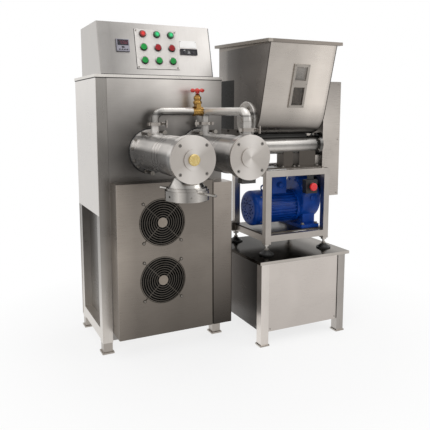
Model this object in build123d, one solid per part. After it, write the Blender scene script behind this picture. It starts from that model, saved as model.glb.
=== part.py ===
from build123d import *
from math import atan2, cos, degrees, hypot, pi, radians, sin, tan
import os

# Rice-noodle extruding machine, in millimetres, X to the right, Y to the back, Z up.
# It is drawn from the cabinet's front left floor corner, and moved at the end so that
# its origin is the centre of its footprint on the floor.

# Sheet metal, tube walls, fits and cuts
SHEET = 2.0
TUBE_WALL = 2.0
RUN_FIT = 0.05
SLIDE_GAP = 0.4
OVERRUN = 6.0

# Cabinet on four corner posts
CABINET_W = 586.0
CABINET_D = 398.0
CABINET_H = 1230.0
POST = 46.0
LOW_RAIL_Z = 60.0
LOW_RAIL_H = 50.0
SKIN_Z = 627.0
LOWER_PANEL_INSET = 38.0
DRIVE_SHELF_Z = 809.0
SHELF_T = 6.0
CAP_SKIRT = 12.0
CAP_GAP = 1.0
VENT_COUNT = 8
VENT_W = 200.0
VENT_H = 8.0
VENT_PITCH = 30.0
VENT_Z = 260.0

# Adjustable feet under the cabinet and the stand
FOOT_H = 50.0
FOOT_PLATE_T = 7.0
FOOT_PLATE_LIP = 4.0
LEG_GAP = 0.2
LEG_INSERT = 40.0

# Fan cover and narrow side cover on the cabinet's lower front
COVER_X = 50.0
COVER_DEPTH = 100.0
COVER_Z = 93.0
COVER_H = 679.0
COVER_EDGE_R = 5.0
COVER_SEAM = 2.0
SIDE_COVER_W = 95.0
SIDE_COVER_LIP = 6.0
SIDE_COVER_DROP = 13.0

# Cooling fans
FAN_X = 252.0
FAN_Z = (598.0, 340.0)
FAN_R = 100.0
FAN_FRAME = 222.0
FAN_FRAME_T = 26.0
FAN_TIP_GAP = 3.0
FAN_HUB_R = 34.0
FAN_HUB_T = 15.0
FAN_AXLE_R = 4.0
FAN_ARM_W = 12.0
FAN_ARM_T = 5.0
FAN_BOSS_R = 26.0
BLADE_COUNT = 5
BLADE_CHORD = 34.0
BLADE_T = 2.0
BLADE_PITCH = 26.0
GUARD_R = 105.0
GUARD_WIRE = 3.0
GUARD_RING_COUNT = 8
GUARD_HUB_R = 22.0
GUARD_EYE = 86.0
GUARD_EYE_R = 7.0
GUARD_SCREW_R = 2.6
GUARD_SPOKE_TURN = 45.0

# Control box with a leaning front
BOX_X = 25.0
BOX_W = 522.0
BOX_FRONT_Y = 6.0
BOX_TOP_Y = 62.0
BOX_BACK_INSET = 44.0
BOX_H = 225.0
BOX_EDGE_R = 5.0

# Button plate, lamps and push buttons, placed along and up the leaning front
PLATE_U = 164.0
PLATE_V = 29.0
PLATE_W = 194.0
PLATE_H = 177.0
PLATE_T = 2.0
PLATE_CORNER_R = 4.0
DEVICE_U = 199.5
DEVICE_V = 66.0
DEVICE_PITCH_U = 65.0
DEVICE_PITCH_V = 59.0
DEVICE_HOLE_R = 11.2
DEVICE_BODY_R = 11.0
BEZEL_R = 17.0
BEZEL_H = 7.0
BEZEL_DEPTH = 22.0
BEZEL_FLOOR = 1.0
BUTTON_R = 13.5
BUTTON_PROUD = 2.5
BUTTON_STEM_R = 4.0
BUTTON_TRAVEL = 4.0
BUTTON_EDGE_R = 1.5
LAMP_RIM_R = 16.0
LAMP_RIM_H = 4.0
LAMP_LENS_R = 14.0
LAMP_LENS_H = 8.0
LAMP_DOME_R = 6.0

# Temperature controller and two bare plates on the leaning front
CONTROLLER_U = 78.0
CONTROLLER_V = 101.0
CONTROLLER_W = 57.0
CONTROLLER_H = 54.0
CONTROLLER_PROUD = 9.0
CONTROLLER_DEPTH = 70.0
CONTROLLER_BODY = 45.0
CONTROLLER_EDGE_R = 2.0
CUTOUT_GAP = 0.3
LABEL_U = 371.0
LABEL_W = 81.0
LABEL_V = 132.0
LABEL_H = 32.0
LABEL_T = 1.5
COUNTER_V = 98.5
COUNTER_H = 27.0
COUNTER_T = 5.0

# Barrels, with their axes along Y
RIGHT_INSET = 112.0
BARREL_PITCH = 237.0
BARREL_Z = 901.0
BARREL_R = 77.0
BORE_R = 62.0
FLANGE_R = 97.0
FLANGE_T = 18.0
STEP_R = 84.0
STEP_T = 6.0
BAND_R = 80.0
BAND_Y = (-232.0, -262.0, -292.0)
BAND_T = 10.0
LEFT_COVER_R = 90.0
RIGHT_COVER_R = 87.5
HEAD_T = 34.0
END_Y = -466.0
COVER_T = 10.0
BOSS_R = 39.0
BOSS_T = 5.0
PLUG_R = 21.5
PLUG_T = 8.0
PLUG_STEM_R = 12.0
BLOCK_W = 60.0
BLOCK_H = 14.0

# Bolts on the barrels
COVER_BOLT_SHARE = 0.83
COVER_BOLT_R = 4.0
COVER_BOLT_HEAD_R = 5.5
COVER_BOLT_HEAD_T = 5.0
COVER_BOLT_SEAT_R = 6.5
COVER_BOLT_SEAT_T = 6.0
COVER_BOLT_L = 26.0
COVER_BOLT_TURN = 45.0
TIE_R = 5.0
TIE_L = 95.0
TIE_NUT_R = 9.0
TIE_NUT_T = 9.0
TIE_CIRCLE_R = 90.0
TIE_TURNS = (72.0, 118.0, 250.0)
FLANGE_BOLT_R = 5.5
FLANGE_BOLT_T = 5.0
FLANGE_BOLT_TURNS = (20.0, 50.0, 145.0, 170.0, 205.0, 225.0, 320.0)
FLANGE_BOLT_CIRCLE_R = 90.5

# Screws and their drives inside the cabinet
SCREW_GAP = 1.5
SCREW_ROOT_R = 34.0
SCREW_PITCH = 70.0
SCREW_TIP_GAP = 12.0
SCREW_REAR_GAP = 8.0
SCREW_TOOTH_W = 26.0
SHAFT_R = 22.0
SHAFT_INSERT = 110.0
SHAFT_HOLE_GAP = 6.0
HOUSING_R = 62.0
HOUSING_L = 90.0
REDUCER_W = 172.0
REDUCER_L = 110.0
DRIVE_MOTOR_R = 60.0
DRIVE_REAR_GAP = 56.0

# Die head under the left barrel
DIE_Y = -410.0
NECK_TOP_R = 49.0
NECK_R = 68.0
NECK_TOP_Z = 850.0
NECK_CONE_Z = 832.0
NECK_BASE_Z = 796.0
NECK_PORT_R = 42.0
DIE_R = 69.5
DIE_SEAT_Z = 763.0
DIE_T = 10.0
DIE_HOLE_R = 2.5
DIE_HOLE_PITCH = 11.0
DIE_HOLE_RINGS = 4
DIE_GAP = 0.3
RING_R = 84.0
RING_TOP_Z = 793.0
RING_BOTTOM_Z = 745.0
RING_LIP_R = 58.0
RING_LIP_T = 7.5
RING_STEP_R = 78.0
RING_STEP_T = 10.0
RING_HOLE_R = 4.0
RING_HOLE_DEPTH = 9.0
RING_HOLE_COUNT = 6
HANDLE_R = 5.5
HANDLE_L = 76.0
HANDLE_Z = 777.0
HANDLE_TURN = -72.0

# Transfer pipe over the barrels
PIPE_R = 16.8
PIPE_BORE_R = 14.0
PIPE_Y = -64.0
PIPE_Z = 1075.0
PIPE_BEND_R = 36.0
REAR_JOINT_Z = 1022.0
FRONT_JOINT_Z = 1006.0
FRONT_RISER_Y = -447.0
FERRULE_R = 25.2
FERRULE_T = 3.0
CLAMP_R = 29.5
CLAMP_H = 13.0
CLAMP_GAP = 0.3
CLAMP_EAR_L = 17.0
CLAMP_EAR_W = 12.0
WING_R = 4.0
WING_L = 34.0
WING_SPAN = 30.0
WING_T = 6.0
CLAMP_TURN = 20.0

# Gate valve in the pipe
VALVE_X = 436.0
VALVE_L = 48.0
VALVE_END_R = 20.5
VALVE_END_L = 14.0
VALVE_MID_R = 18.5
NECK_W = 20.0
NECK_D = 34.0
NECK_H = 43.0
BONNET_R = 19.5
BONNET_H = 17.0
BONNET_LAP = 13.0
BEAD_SHARE = 0.4
WAIST_R = 14.5
WAIST_H = 3.0
GLAND_R = 17.5
GLAND_H = 16.0
GLAND_NUT_R = 12.5
GLAND_TIP_R = 8.5
GLAND_NUT_H = 10.0
STEM_R = 5.0
GATE_T = 8.0
GATE_W = 27.0
GATE_LIFT = 28.0
GATE_GAP = 0.4
GATE_SCREW_R = 2.5
GATE_SCREW_HOLD = 8.0
WHEEL_R = 27.0
WHEEL_RIM_R = 4.5
WHEEL_ROUND_SHARE = 0.8
WHEEL_Z = 1166.0
WHEEL_HUB_R = 9.5
WHEEL_HUB_H = 6.0
WHEEL_HUB_DROP = 13.0
WHEEL_SPOKE_R = 3.2
WHEEL_SPOKE_COUNT = 6
WHEEL_LOBE_R = 8.0
WHEEL_LOBE_H = 17.0
WHEEL_LOBE_SHARE = 0.4
WHEEL_NUT_R = 4.5
WHEEL_NUT_H = 4.0

# Feed tube from under the hopper into the right barrel
FEED_Y = -70.0
FEED_RISE = 14.0
TUBE_R = 42.0
TUBE_BORE_R = 37.0
TUBE_CLEAR = 1.0
TUBE_END_LIP = 31.0
TUBE_FLANGE_R = 56.0
TUBE_FLANGE_T = 17.0
THROAT_INSET = 32.0
THROAT_L = 290.0
THROAT_W = 36.0
FEED_SHAFT_R = 12.0
FEED_ROOT_R = 16.0
FEED_GAP = 1.5
FEED_PITCH = 55.0
FEED_TOOTH_W = 14.0
FEED_START_GAP = 6.0
FEED_END_GAP = 10.0

# Hopper, open at the top, with a rounded trough
HOPPER_INSET = 25.0
HOPPER_W = 347.0
HOPPER_TOP_Z = 1380.0
HOPPER_BACK_Y = 223.0
HOPPER_WALL = 3.0
TROUGH_R = 122.0
TROUGH_Z = 1090.0
FRONT_LEAN = 14.7
BACK_LEAN = 45.0
RIM_RISE = 18.0
RIM_FRONT = 12.0
RIM_SIDE = 20.0
RIM_H = 14.0
WINDOW_U = 137.0
WINDOW_V = 34.0
WINDOW_W = 82.0
WINDOW_H = 196.0
WINDOW_T = 6.0
WINDOW_BORDER = 12.0
WINDOW_BAR_V = 93.0
WINDOW_BAR_H = 31.0
GLASS_LAP = 5.0

# Agitator in the hopper, and its bearing housings
AGITATOR_Z = 1035.0
AGITATOR_R = 14.0
PADDLE_R = 6.0
PADDLE_L = 56.0
PADDLE_COUNT = 6
PADDLE_TURN = 60.0
PADDLE_END_GAP = 40.0
BEARING_R = 85.0
BEARING_T = 10.0
HUB_R = 42.0
HUB_T = 16.0
SMALL_BEARING_R = 34.0
SMALL_BEARING_T = 24.0

# Motor frame on the stand
FRAME_INSET = 82.0
FRAME_W = 359.0
FRAME_Y = -152.0
FRAME_D = 337.0
FRAME_TOP_Z = 803.0
FRAME_POST_Z = 455.0
FRAME_LOW_Z = 467.0
FRAME_TUBE = 30.0
MOTOR_PLATE_T = 6.0
MOTOR_PLATE_GAP = 4.0
CARRIER_W = 84.0
CARRIER_T = 8.0
PEDESTAL_SETS = (152.0, 262.0)
PEDESTAL_LS = (52.0, 94.0)
PEDESTAL_W = 60.0
LUG_T = 20.0
LUG_D = 50.0
LUG_H = 42.0
LUG_BOLT_R = 5.0
LUG_BOLT_L = 16.0
PAD_R = 35.0
PAD_H = 20.0
PAD_EDGE_H = 6.0
PAD_SHOULDER_R = 31.0
PAD_NECK_R = 13.0
STUD_R = 6.0
STUD_INSERT = 20.0
COLLAR_R = 14.0
COLLAR_H = 7.0

# Gear motor
MOTOR_Y = 10.0
MOTOR_Z = 604.0
MOTOR_LIP = 6.0
FAN_COVER_L = 70.0
FAN_COVER_R = 86.0
FAN_COVER_ROUND_SHARE = 0.3
FAN_COVER_WALL = 17.5
MOTOR_BODY_L = 170.0
MOTOR_BODY_R = 70.0
FIN_COUNT = 28
FIN_H = 10.0
FIN_T = 3.0
MOTOR_FLANGE_R = 82.0
MOTOR_FLANGE_T = 15.0
TERMINAL_W = 84.0
TERMINAL_D = 92.0
TERMINAL_H = 86.0
TERMINAL_SETBACK = 111.0
TERMINAL_EDGE_R = 5.0
VENT_RING_COUNT = 3
VENT_RING_PITCH = 13.0
VENT_HOLE_R = 4.5
VENT_HOLE_COUNT = 10
GEAR_R = 105.0
GEAR_Z = 640.0
GEAR_L = 106.0
GEAR_EDGE_R = 10.0
OUTPUT_Z = 706.0
OUTPUT_CASE_R = 58.0
GEAR_FOOT_SETBACK = 3.0
GEAR_FOOT_L = 108.0
GEAR_FOOT_D = 220.0
GEAR_FOOT_T = 15.0
GEAR_POST_W = 70.0
GEAR_POST_D = 150.0
ROTOR_R = 9.0
ROTOR_FAN_R = 62.0
ROTOR_FAN_T = 18.0
ROTOR_HUB_R = 22.0
ROTOR_BLADE_COUNT = 6
ROTOR_BLADE_T = 3.0
ROTOR_SETBACK = 22.0

# Chain drive and its guard
GUARD_W = 101.0
GUARD_Y = -118.0
GUARD_D = 182.0
GUARD_Z = 660.0
GUARD_TOP_Z = 1216.0
SHAFT_CLEAR = 6.0
SPROCKET_R = 30.0
SPROCKET_T = 6.0
LOWER_CHAIN_INSET = 39.0
UPPER_CHAIN_INSET = 69.0
SHAFT_TAIL = 12.0
CHAIN_GAP = 0.5
CHAIN_T = 9.0
CHAIN_W = 10.0
OUTPUT_R = 15.0

# Emergency stop on the motor frame
STOP_INSET = 137.0
STOP_W = 66.0
STOP_H = 66.0
STOP_D = 30.0
STOP_DROP = 24.0
HANGER_W = 36.0
HANGER_T = 5.0
HANGER_SETBACK = 12.0
STOP_EDGE_R = 4.0
STOP_COLLAR_R = 15.0
STOP_COLLAR_H = 5.0
STOP_HEAD_R = 19.0
STOP_HEAD_H = 11.0
STOP_HEAD_GAP = 5.5
STOP_STEM_R = 8.0
STOP_STEM_L = 16.0
STOP_TRAVEL = 5.0
STOP_HEAD_EDGE_R = 4.0

# Stand under the feed unit
STAND_GAP = 73.0
STAND_W = 497.0
STAND_Y = -249.0
STAND_D = 484.0
STAND_H = 405.0
TABLE_EDGE = 14.0
STAND_LEG = 40.0
STAND_INSET = 14.0
STAND_RAIL_Z = 66.0
STAND_RAIL_H = 30.0
STAND_RAIL_W = 25.0
STAND_PANEL_SETBACK = 4.0
STAND_SIDE_SETBACK = 12.0

# Places worked out from the sizes above
PANEL_TOP_Z = CABINET_H - SHEET
COVER_Y = -COVER_DEPTH
SIDE_COVER_X = CABINET_W + SIDE_COVER_LIP - SIDE_COVER_W
COVER_W = SIDE_COVER_X - COVER_SEAM - COVER_X
BOX_BACK_Y = CABINET_D - BOX_BACK_INSET
RIGHT_X = CABINET_W - RIGHT_INSET
LEFT_X = RIGHT_X - BARREL_PITCH
BARREL_XS = (LEFT_X, RIGHT_X)
COVER_FACE_Y = END_Y - COVER_T
FEED_Z = BARREL_Z + FEED_RISE
TUBE_START_X = RIGHT_X
STAND_X = CABINET_W + STAND_GAP
HOPPER_X = STAND_X + HOPPER_INSET
HOPPER_END_X = HOPPER_X + HOPPER_W
THROAT_X = HOPPER_X + THROAT_INSET
TUBE_END_X = HOPPER_END_X + TUBE_END_LIP
FRAME_X = STAND_X + FRAME_INSET
PEDESTAL_XS = [FRAME_X + inset for inset in PEDESTAL_SETS]
FRAME_END_X = FRAME_X + FRAME_W
FRAME_END_Y = FRAME_Y + FRAME_D
MOTOR_PLATE_Z = FRAME_LOW_Z + FRAME_TUBE
MOTOR_X = FRAME_X - MOTOR_LIP
MOTOR_FLANGE_X = MOTOR_X + FAN_COVER_L + MOTOR_BODY_L
GEAR_X = MOTOR_FLANGE_X + MOTOR_FLANGE_T
GEAR_FOOT_X = MOTOR_FLANGE_X + GEAR_FOOT_SETBACK
TERMINAL_X = MOTOR_X + TERMINAL_SETBACK
TERMINAL_Z = MOTOR_Z + MOTOR_BODY_R
GUARD_X = TUBE_END_X + TUBE_FLANGE_T
GUARD_END_X = GUARD_X + GUARD_W
LOWER_CHAIN_X = GUARD_X + LOWER_CHAIN_INSET
UPPER_CHAIN_X = GUARD_X + UPPER_CHAIN_INSET
STOP_X = FRAME_END_X - STOP_INSET
GUARD_END_Y = GUARD_Y + GUARD_D
STAND_END_X = STAND_X + STAND_W
STAND_END_Y = STAND_Y + STAND_D


def block(x, y, z):
    """A box between a low and a high value on each axis."""
    spans = (x, y, z)
    centre = [(low + high) / 2 for low, high in spans]
    size = [high - low for low, high in spans]
    return Pos(*centre) * Box(*size)


def rod_x(x, y, z, radius):
    """A round bar along X between the two values of x."""
    return Pos((x[0] + x[1]) / 2, y, z) * Rot(0, 90, 0) * Cylinder(radius, x[1] - x[0])


def rod_y(x, y, z, radius):
    """A round bar along Y between the two values of y."""
    return Pos(x, (y[0] + y[1]) / 2, z) * Rot(90, 0, 0) * Cylinder(radius, y[1] - y[0])


def rod_z(x, y, z, radius):
    """A round bar along Z between the two values of z."""
    return Pos(x, y, (z[0] + z[1]) / 2) * Cylinder(radius, z[1] - z[0])


def around(pair):
    """A span made a little longer at both ends, for a cut that goes right through."""
    return pair[0] - OVERRUN, pair[1] + OVERRUN


def about(centre, width):
    """The span of this width about a centre."""
    return centre - width / 2, centre + width / 2


def square_tube(x, y, z, along):
    """A hollow square bar, open at both ends of the axis that it runs along."""
    outer = {"x": x, "y": y, "z": z}
    inner = {}
    for axis, (low, high) in outer.items():
        inner[axis] = around((low, high)) if axis == along else (low + TUBE_WALL, high - TUBE_WALL)
    return block(x, y, z) - block(inner["x"], inner["y"], inner["z"])


def group(pieces):
    """Separate solids kept together in one node."""
    return Compound([solid for piece in pieces for solid in piece.solids()])


def screw(place, radius, root, pitch, tooth, length):
    """A one-start screw drawn up +Z: a round root with one tooth, turned as it is drawn out."""
    blade = Rectangle(radius, tooth, align=(Align.MIN, Align.CENTER)) & Circle(radius)
    section = (Circle(root) + blade).face()
    turns = 360 * length / pitch
    twisted = Solid.extrude_linear_with_rotation(section, (0, 0, 0), (0, 0, length), turns)
    return place * twisted


def foot(x, y, tube, tube_z):
    """A leg that slides up into the square tube that starts at tube_z, on a flat floor plate."""
    leg = tube - 2 * TUBE_WALL - 2 * LEG_GAP
    plate = tube + 2 * FOOT_PLATE_LIP
    plate_block = block(about(x, plate), about(y, plate), (0, FOOT_PLATE_T))
    return plate_block + block(about(x, leg), about(y, leg), (0, tube_z + LEG_INSERT))


# Cabinet
post_xs = ((SHEET, SHEET + POST), (CABINET_W - SHEET - POST, CABINET_W - SHEET))
post_ys = ((SHEET, SHEET + POST), (CABINET_D - SHEET - POST, CABINET_D - SHEET))
between_x = (post_xs[0][1], post_xs[1][0])
between_y = (post_ys[0][1], post_ys[1][0])
low_z = (LOW_RAIL_Z, LOW_RAIL_Z + LOW_RAIL_H)
top_z = (PANEL_TOP_Z - POST, PANEL_TOP_Z)


def make_cabinet_frame():
    bars = [square_tube(x, y, (FOOT_H, PANEL_TOP_Z), "z") for x in post_xs for y in post_ys]
    bars += [square_tube(x, between_y, z, "y") for x in post_xs for z in (low_z, top_z)]
    bars += [square_tube(between_x, y, z, "x") for y in post_ys for z in (low_z, top_z)]
    drive_z = (DRIVE_SHELF_Z - POST, DRIVE_SHELF_Z)
    bars += [square_tube(x, between_y, drive_z, "y") for x in post_xs]
    bars.append(square_tube(post_xs[0], between_y, (SKIN_Z, SKIN_Z + POST), "y"))
    return group(bars)


def make_cabinet_panels():
    side_y = (SHEET, CABINET_D - SHEET)
    left_upper = block((0, SHEET), side_y, (SKIN_Z, PANEL_TOP_Z))
    lower_x = (LOWER_PANEL_INSET, LOWER_PANEL_INSET + SHEET)
    left_lower = block(lower_x, between_y, (low_z[1], SKIN_Z))
    right = block((CABINET_W - SHEET, CABINET_W), side_y, (LOW_RAIL_Z, PANEL_TOP_Z))
    rear_y = (CABINET_D - SHEET, CABINET_D)
    rear = block((0, CABINET_W), rear_y, (LOW_RAIL_Z, PANEL_TOP_Z))
    for index in range(VENT_COUNT):
        z = VENT_Z + index * VENT_PITCH
        rear -= block(about(CABINET_W / 2, VENT_W), around(rear_y), (z, z + VENT_H))
    floor_pan = block(between_x, (post_ys[0][0], post_ys[1][1]), (low_z[1], low_z[1] + SHEET))
    shelf_x = (post_xs[0][0], post_xs[1][1])
    shelf = block(shelf_x, between_y, (DRIVE_SHELF_Z, DRIVE_SHELF_Z + SHELF_T))
    return group([left_upper, left_lower, right, rear, floor_pan, shelf])


def make_front_panel():
    panel = block((post_xs[0][1], CABINET_W), (0, SHEET), (LOW_RAIL_Z, PANEL_TOP_Z))
    through = around((0, SHEET))
    for x in BARREL_XS:
        panel -= rod_y(x, through, BARREL_Z, SHAFT_R + SHAFT_HOLE_GAP)
    for z in FAN_Z:
        panel -= rod_y(FAN_X, through, z, FAN_R)
    return panel


def make_cabinet_top():
    outside = CAP_GAP + SHEET
    z = (CABINET_H - CAP_SKIRT, CABINET_H)
    cap = block((-outside, CABINET_W + outside), (-outside, CABINET_D + outside), z)
    inside_x = (-CAP_GAP, CABINET_W + CAP_GAP)
    inside_y = (-CAP_GAP, CABINET_D + CAP_GAP)
    return cap - block(inside_x, inside_y, (z[0] - OVERRUN, PANEL_TOP_Z))


def make_floor_feet():
    feet = [foot(sum(x) / 2, sum(y) / 2, POST, FOOT_H) for x in post_xs for y in post_ys]
    feet += [foot(sum(x) / 2, sum(y) / 2, STAND_LEG, FOOT_PLATE_T) for x in leg_xs for y in leg_ys]
    return group(feet)


# Covers and fans on the cabinet's lower front
def sheet_cover(x, z):
    """A shallow sheet box, open at the back, with rounded front corners."""
    outer = block(x, (COVER_Y, 0), z)
    front_edges = outer.edges().filter_by(Axis.Z).group_by(Axis.Y)[0]
    outer = fillet(front_edges, COVER_EDGE_R)
    inner_x = (x[0] + SHEET, x[1] - SHEET)
    return outer - block(inner_x, (COVER_Y + SHEET, OVERRUN), (z[0] + SHEET, z[1] - SHEET))


def make_fan_cover():
    cover = sheet_cover((COVER_X, COVER_X + COVER_W), (COVER_Z, COVER_Z + COVER_H))
    for z in FAN_Z:
        cover -= rod_y(FAN_X, around((COVER_Y, COVER_Y + SHEET)), z, FAN_R)
    return cover


def make_side_cover():
    top = COVER_Z + COVER_H - SIDE_COVER_DROP
    return sheet_cover((SIDE_COVER_X, SIDE_COVER_X + SIDE_COVER_W), (COVER_Z, top))


def fan_guard(z):
    """Wire rings on four spokes, with a round centre plate and screw eyes."""
    y = (COVER_Y - GUARD_WIRE, COVER_Y)
    guard = rod_y(0, y, 0, GUARD_HUB_R)
    step = (GUARD_R - GUARD_HUB_R) / GUARD_RING_COUNT
    eye_radius = hypot(GUARD_EYE, GUARD_EYE)
    pieces = []
    for index in range(GUARD_RING_COUNT):
        radius = GUARD_R - index * step
        pieces.append(rod_y(0, y, 0, radius) - rod_y(0, around(y), 0, radius - GUARD_WIRE))
    for index in range(4):
        turn = Rot(0, GUARD_SPOKE_TURN + 90 * index, 0)
        spoke = block((0, eye_radius), y, about(0, GUARD_WIRE))
        eye = rod_y(eye_radius, y, 0, GUARD_EYE_R)
        pieces += [turn * spoke, turn * eye]
    guard = guard + pieces
    for index in range(4):
        turn = Rot(0, GUARD_SPOKE_TURN + 90 * index, 0)
        guard -= turn * rod_y(eye_radius, around(y), 0, GUARD_SCREW_R)
    return Pos(FAN_X, 0, z) * guard


def make_fan_guards():
    return group([fan_guard(z) for z in FAN_Z])


fan_front_y = COVER_Y + SHEET
fan_back_y = fan_front_y + FAN_FRAME_T
fan_arm_y = fan_back_y - FAN_ARM_T
rotor_back_y = fan_arm_y - FAN_TIP_GAP / 2
rotor_front_y = rotor_back_y - FAN_HUB_T


def fan_frame(z):
    """A square fan housing whose rear arms carry the fixed axle."""
    y = (fan_front_y, fan_back_y)
    frame = block(about(0, FAN_FRAME), y, about(0, FAN_FRAME))
    frame -= rod_y(0, around(y), 0, FAN_R)
    arm_y = (fan_arm_y, fan_back_y)
    reach = about(0, 2 * FAN_R + FAN_ARM_W)
    frame += block(reach, arm_y, about(0, FAN_ARM_W))
    frame += block(about(0, FAN_ARM_W), arm_y, reach)
    frame += rod_y(0, arm_y, 0, FAN_BOSS_R)
    frame += rod_y(0, (rotor_front_y, fan_back_y), 0, FAN_AXLE_R)
    return Pos(FAN_X, 0, z) * frame


def make_fan_frames():
    return group([fan_frame(z) for z in FAN_Z])


def make_fan_rotor(z):
    y = (rotor_front_y, rotor_back_y)
    rotor = rod_y(0, y, 0, FAN_HUB_R)
    tip = FAN_R - FAN_TIP_GAP
    blade = block((FAN_HUB_R - BLADE_CHORD / 4, tip), about(0, BLADE_T), about(0, BLADE_CHORD))
    rounding = rod_y(0, around(y), 0, tip)
    for index in range(BLADE_COUNT):
        tilted = Pos(0, sum(y) / 2, 0) * Rot(BLADE_PITCH, 0, 0) * blade
        rotor += (Rot(0, 360 * index / BLADE_COUNT, 0) * tilted) & rounding
    rotor -= rod_y(0, around(y), 0, FAN_AXLE_R + RUN_FIT)
    return Pos(FAN_X, 0, z) * rotor


# Control box, with its devices placed along, up and out of the leaning front
lean = atan2(BOX_TOP_Y - BOX_FRONT_Y, BOX_H)
box_face = Plane(
    origin=(BOX_X, BOX_FRONT_Y, CABINET_H),
    x_dir=(1, 0, 0),
    z_dir=(0, -cos(lean), sin(lean)),
).location
device_columns = [DEVICE_U + column * DEVICE_PITCH_U for column in range(3)]
device_rows = [DEVICE_V + row * DEVICE_PITCH_V for row in range(3)]
button_places = [(u, v) for v in device_rows[1::-1] for u in device_columns]
lamp_places = [(u, device_rows[2]) for u in device_columns]
CONTROLLER_CENTRE = (CONTROLLER_U + CONTROLLER_W / 2, CONTROLLER_V + CONTROLLER_H / 2)


def on_face(u, v, shape):
    """Moves a shape drawn at the origin to a place on the leaning front."""
    return box_face * (Pos(u, v, 0) * shape)


def make_control_box():
    def section(bottom, inset):
        foot_y = BOX_FRONT_Y - (CABINET_H - bottom) * tan(lean)
        points = [(foot_y, bottom), (BOX_BACK_Y, bottom), (BOX_BACK_Y, CABINET_H + BOX_H)]
        outline = make_face(Polyline(*points, (BOX_TOP_Y, CABINET_H + BOX_H), close=True))
        return offset(outline, amount=-inset) if inset else outline

    outer = Pos(BOX_X, 0, 0) * extrude(Plane.YZ * section(CABINET_H, 0), BOX_W)
    front_edges = outer.faces().sort_by(Axis.Y)[0].edges().filter_by(Axis.X, reverse=True)
    outer = fillet(front_edges, BOX_EDGE_R)
    hollow = extrude(Plane.YZ * section(CABINET_H - OVERRUN, SHEET), BOX_W - 2 * SHEET)
    box = outer - Pos(BOX_X + SHEET, 0, 0) * hollow
    hole = Cylinder(DEVICE_HOLE_R, 4 * OVERRUN)
    for u, v in button_places + lamp_places:
        box -= on_face(u, v, hole)
    cutout = CONTROLLER_BODY + 2 * CUTOUT_GAP
    return box - on_face(*CONTROLLER_CENTRE, Box(cutout, cutout, 4 * OVERRUN))


def make_button_plate():
    sketch = RectangleRounded(PLATE_W, PLATE_H, PLATE_CORNER_R)
    plate = on_face(PLATE_U + PLATE_W / 2, PLATE_V + PLATE_H / 2, extrude(sketch, PLATE_T))
    for u, v in button_places + lamp_places:
        plate -= on_face(u, v, Cylinder(DEVICE_HOLE_R, 4 * OVERRUN))
    return plate


def make_indicator_lamp():
    rim = rod_z(0, 0, (PLATE_T, PLATE_T + LAMP_RIM_H), LAMP_RIM_R)
    lens = rod_z(0, 0, (PLATE_T + LAMP_RIM_H, PLATE_T + LAMP_RIM_H + LAMP_LENS_H), LAMP_LENS_R)
    lens = fillet(lens.edges().group_by(Axis.Z)[-1], LAMP_DOME_R)
    return rim + lens + rod_z(0, 0, (-BEZEL_DEPTH, PLATE_T), DEVICE_BODY_R)


def make_button_bezel():
    ring = rod_z(0, 0, (PLATE_T, PLATE_T + BEZEL_H), BEZEL_R)
    ring = chamfer(ring.edges().group_by(Axis.Z)[-1], BEZEL_H / 4)
    bezel = ring + rod_z(0, 0, (-BEZEL_DEPTH, PLATE_T), DEVICE_BODY_R)
    well = (PLATE_T + BEZEL_FLOOR, PLATE_T + BEZEL_H + OVERRUN)
    bezel -= rod_z(0, 0, well, BUTTON_R + SLIDE_GAP)
    return bezel - rod_z(0, 0, around((-BEZEL_DEPTH, PLATE_T)), BUTTON_STEM_R + RUN_FIT)


def make_push_button():
    top = PLATE_T + BEZEL_H + BUTTON_PROUD
    head_z = PLATE_T + BEZEL_FLOOR + BUTTON_TRAVEL + SLIDE_GAP
    cap = rod_z(0, 0, (head_z, top), BUTTON_R)
    cap = fillet(cap.edges().group_by(Axis.Z)[-1], BUTTON_EDGE_R)
    return cap + rod_z(0, 0, (-BEZEL_DEPTH, head_z), BUTTON_STEM_R)


def make_temperature_controller():
    bezel = Pos(0, 0, CONTROLLER_PROUD / 2) * Box(CONTROLLER_W, CONTROLLER_H, CONTROLLER_PROUD)
    bezel = fillet(bezel.edges().group_by(Axis.Z)[-1], CONTROLLER_EDGE_R)
    body = Pos(0, 0, -CONTROLLER_DEPTH / 2) * Box(CONTROLLER_BODY, CONTROLLER_BODY, CONTROLLER_DEPTH)
    return on_face(*CONTROLLER_CENTRE, bezel + body)


def make_blank_plates():
    centre_u = LABEL_U + LABEL_W / 2
    label = Pos(0, 0, LABEL_T / 2) * Box(LABEL_W, LABEL_H, LABEL_T)
    counter = Pos(0, 0, COUNTER_T / 2) * Box(LABEL_W, COUNTER_H, COUNTER_T)
    placed_label = on_face(centre_u, LABEL_V + LABEL_H / 2, label)
    return group([placed_label, on_face(centre_u, COUNTER_V + COUNTER_H / 2, counter)])


# Barrels and what closes them
def barrel_outside(x, head_radius):
    """The barrel's outer form: tube, rear flange, bands and the thick head ring."""
    body = rod_y(x, (END_Y, 0), BARREL_Z, BARREL_R)
    body += rod_y(x, (-FLANGE_T, 0), BARREL_Z, FLANGE_R)
    body += rod_y(x, (-FLANGE_T - STEP_T, -FLANGE_T), BARREL_Z, STEP_R)
    for y in BAND_Y:
        body += rod_y(x, about(y, BAND_T), BARREL_Z, BAND_R)
    return body + rod_y(x, (END_Y, END_Y + HEAD_T), BARREL_Z, head_radius)


def riser_stub(x, y, joint_z):
    """A short pipe standing on a barrel, ending in a clamp ferrule."""
    pipe = rod_z(x, y, (BARREL_Z, joint_z), PIPE_R)
    return pipe + rod_z(x, y, (joint_z - FERRULE_T, joint_z), FERRULE_R)


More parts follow.
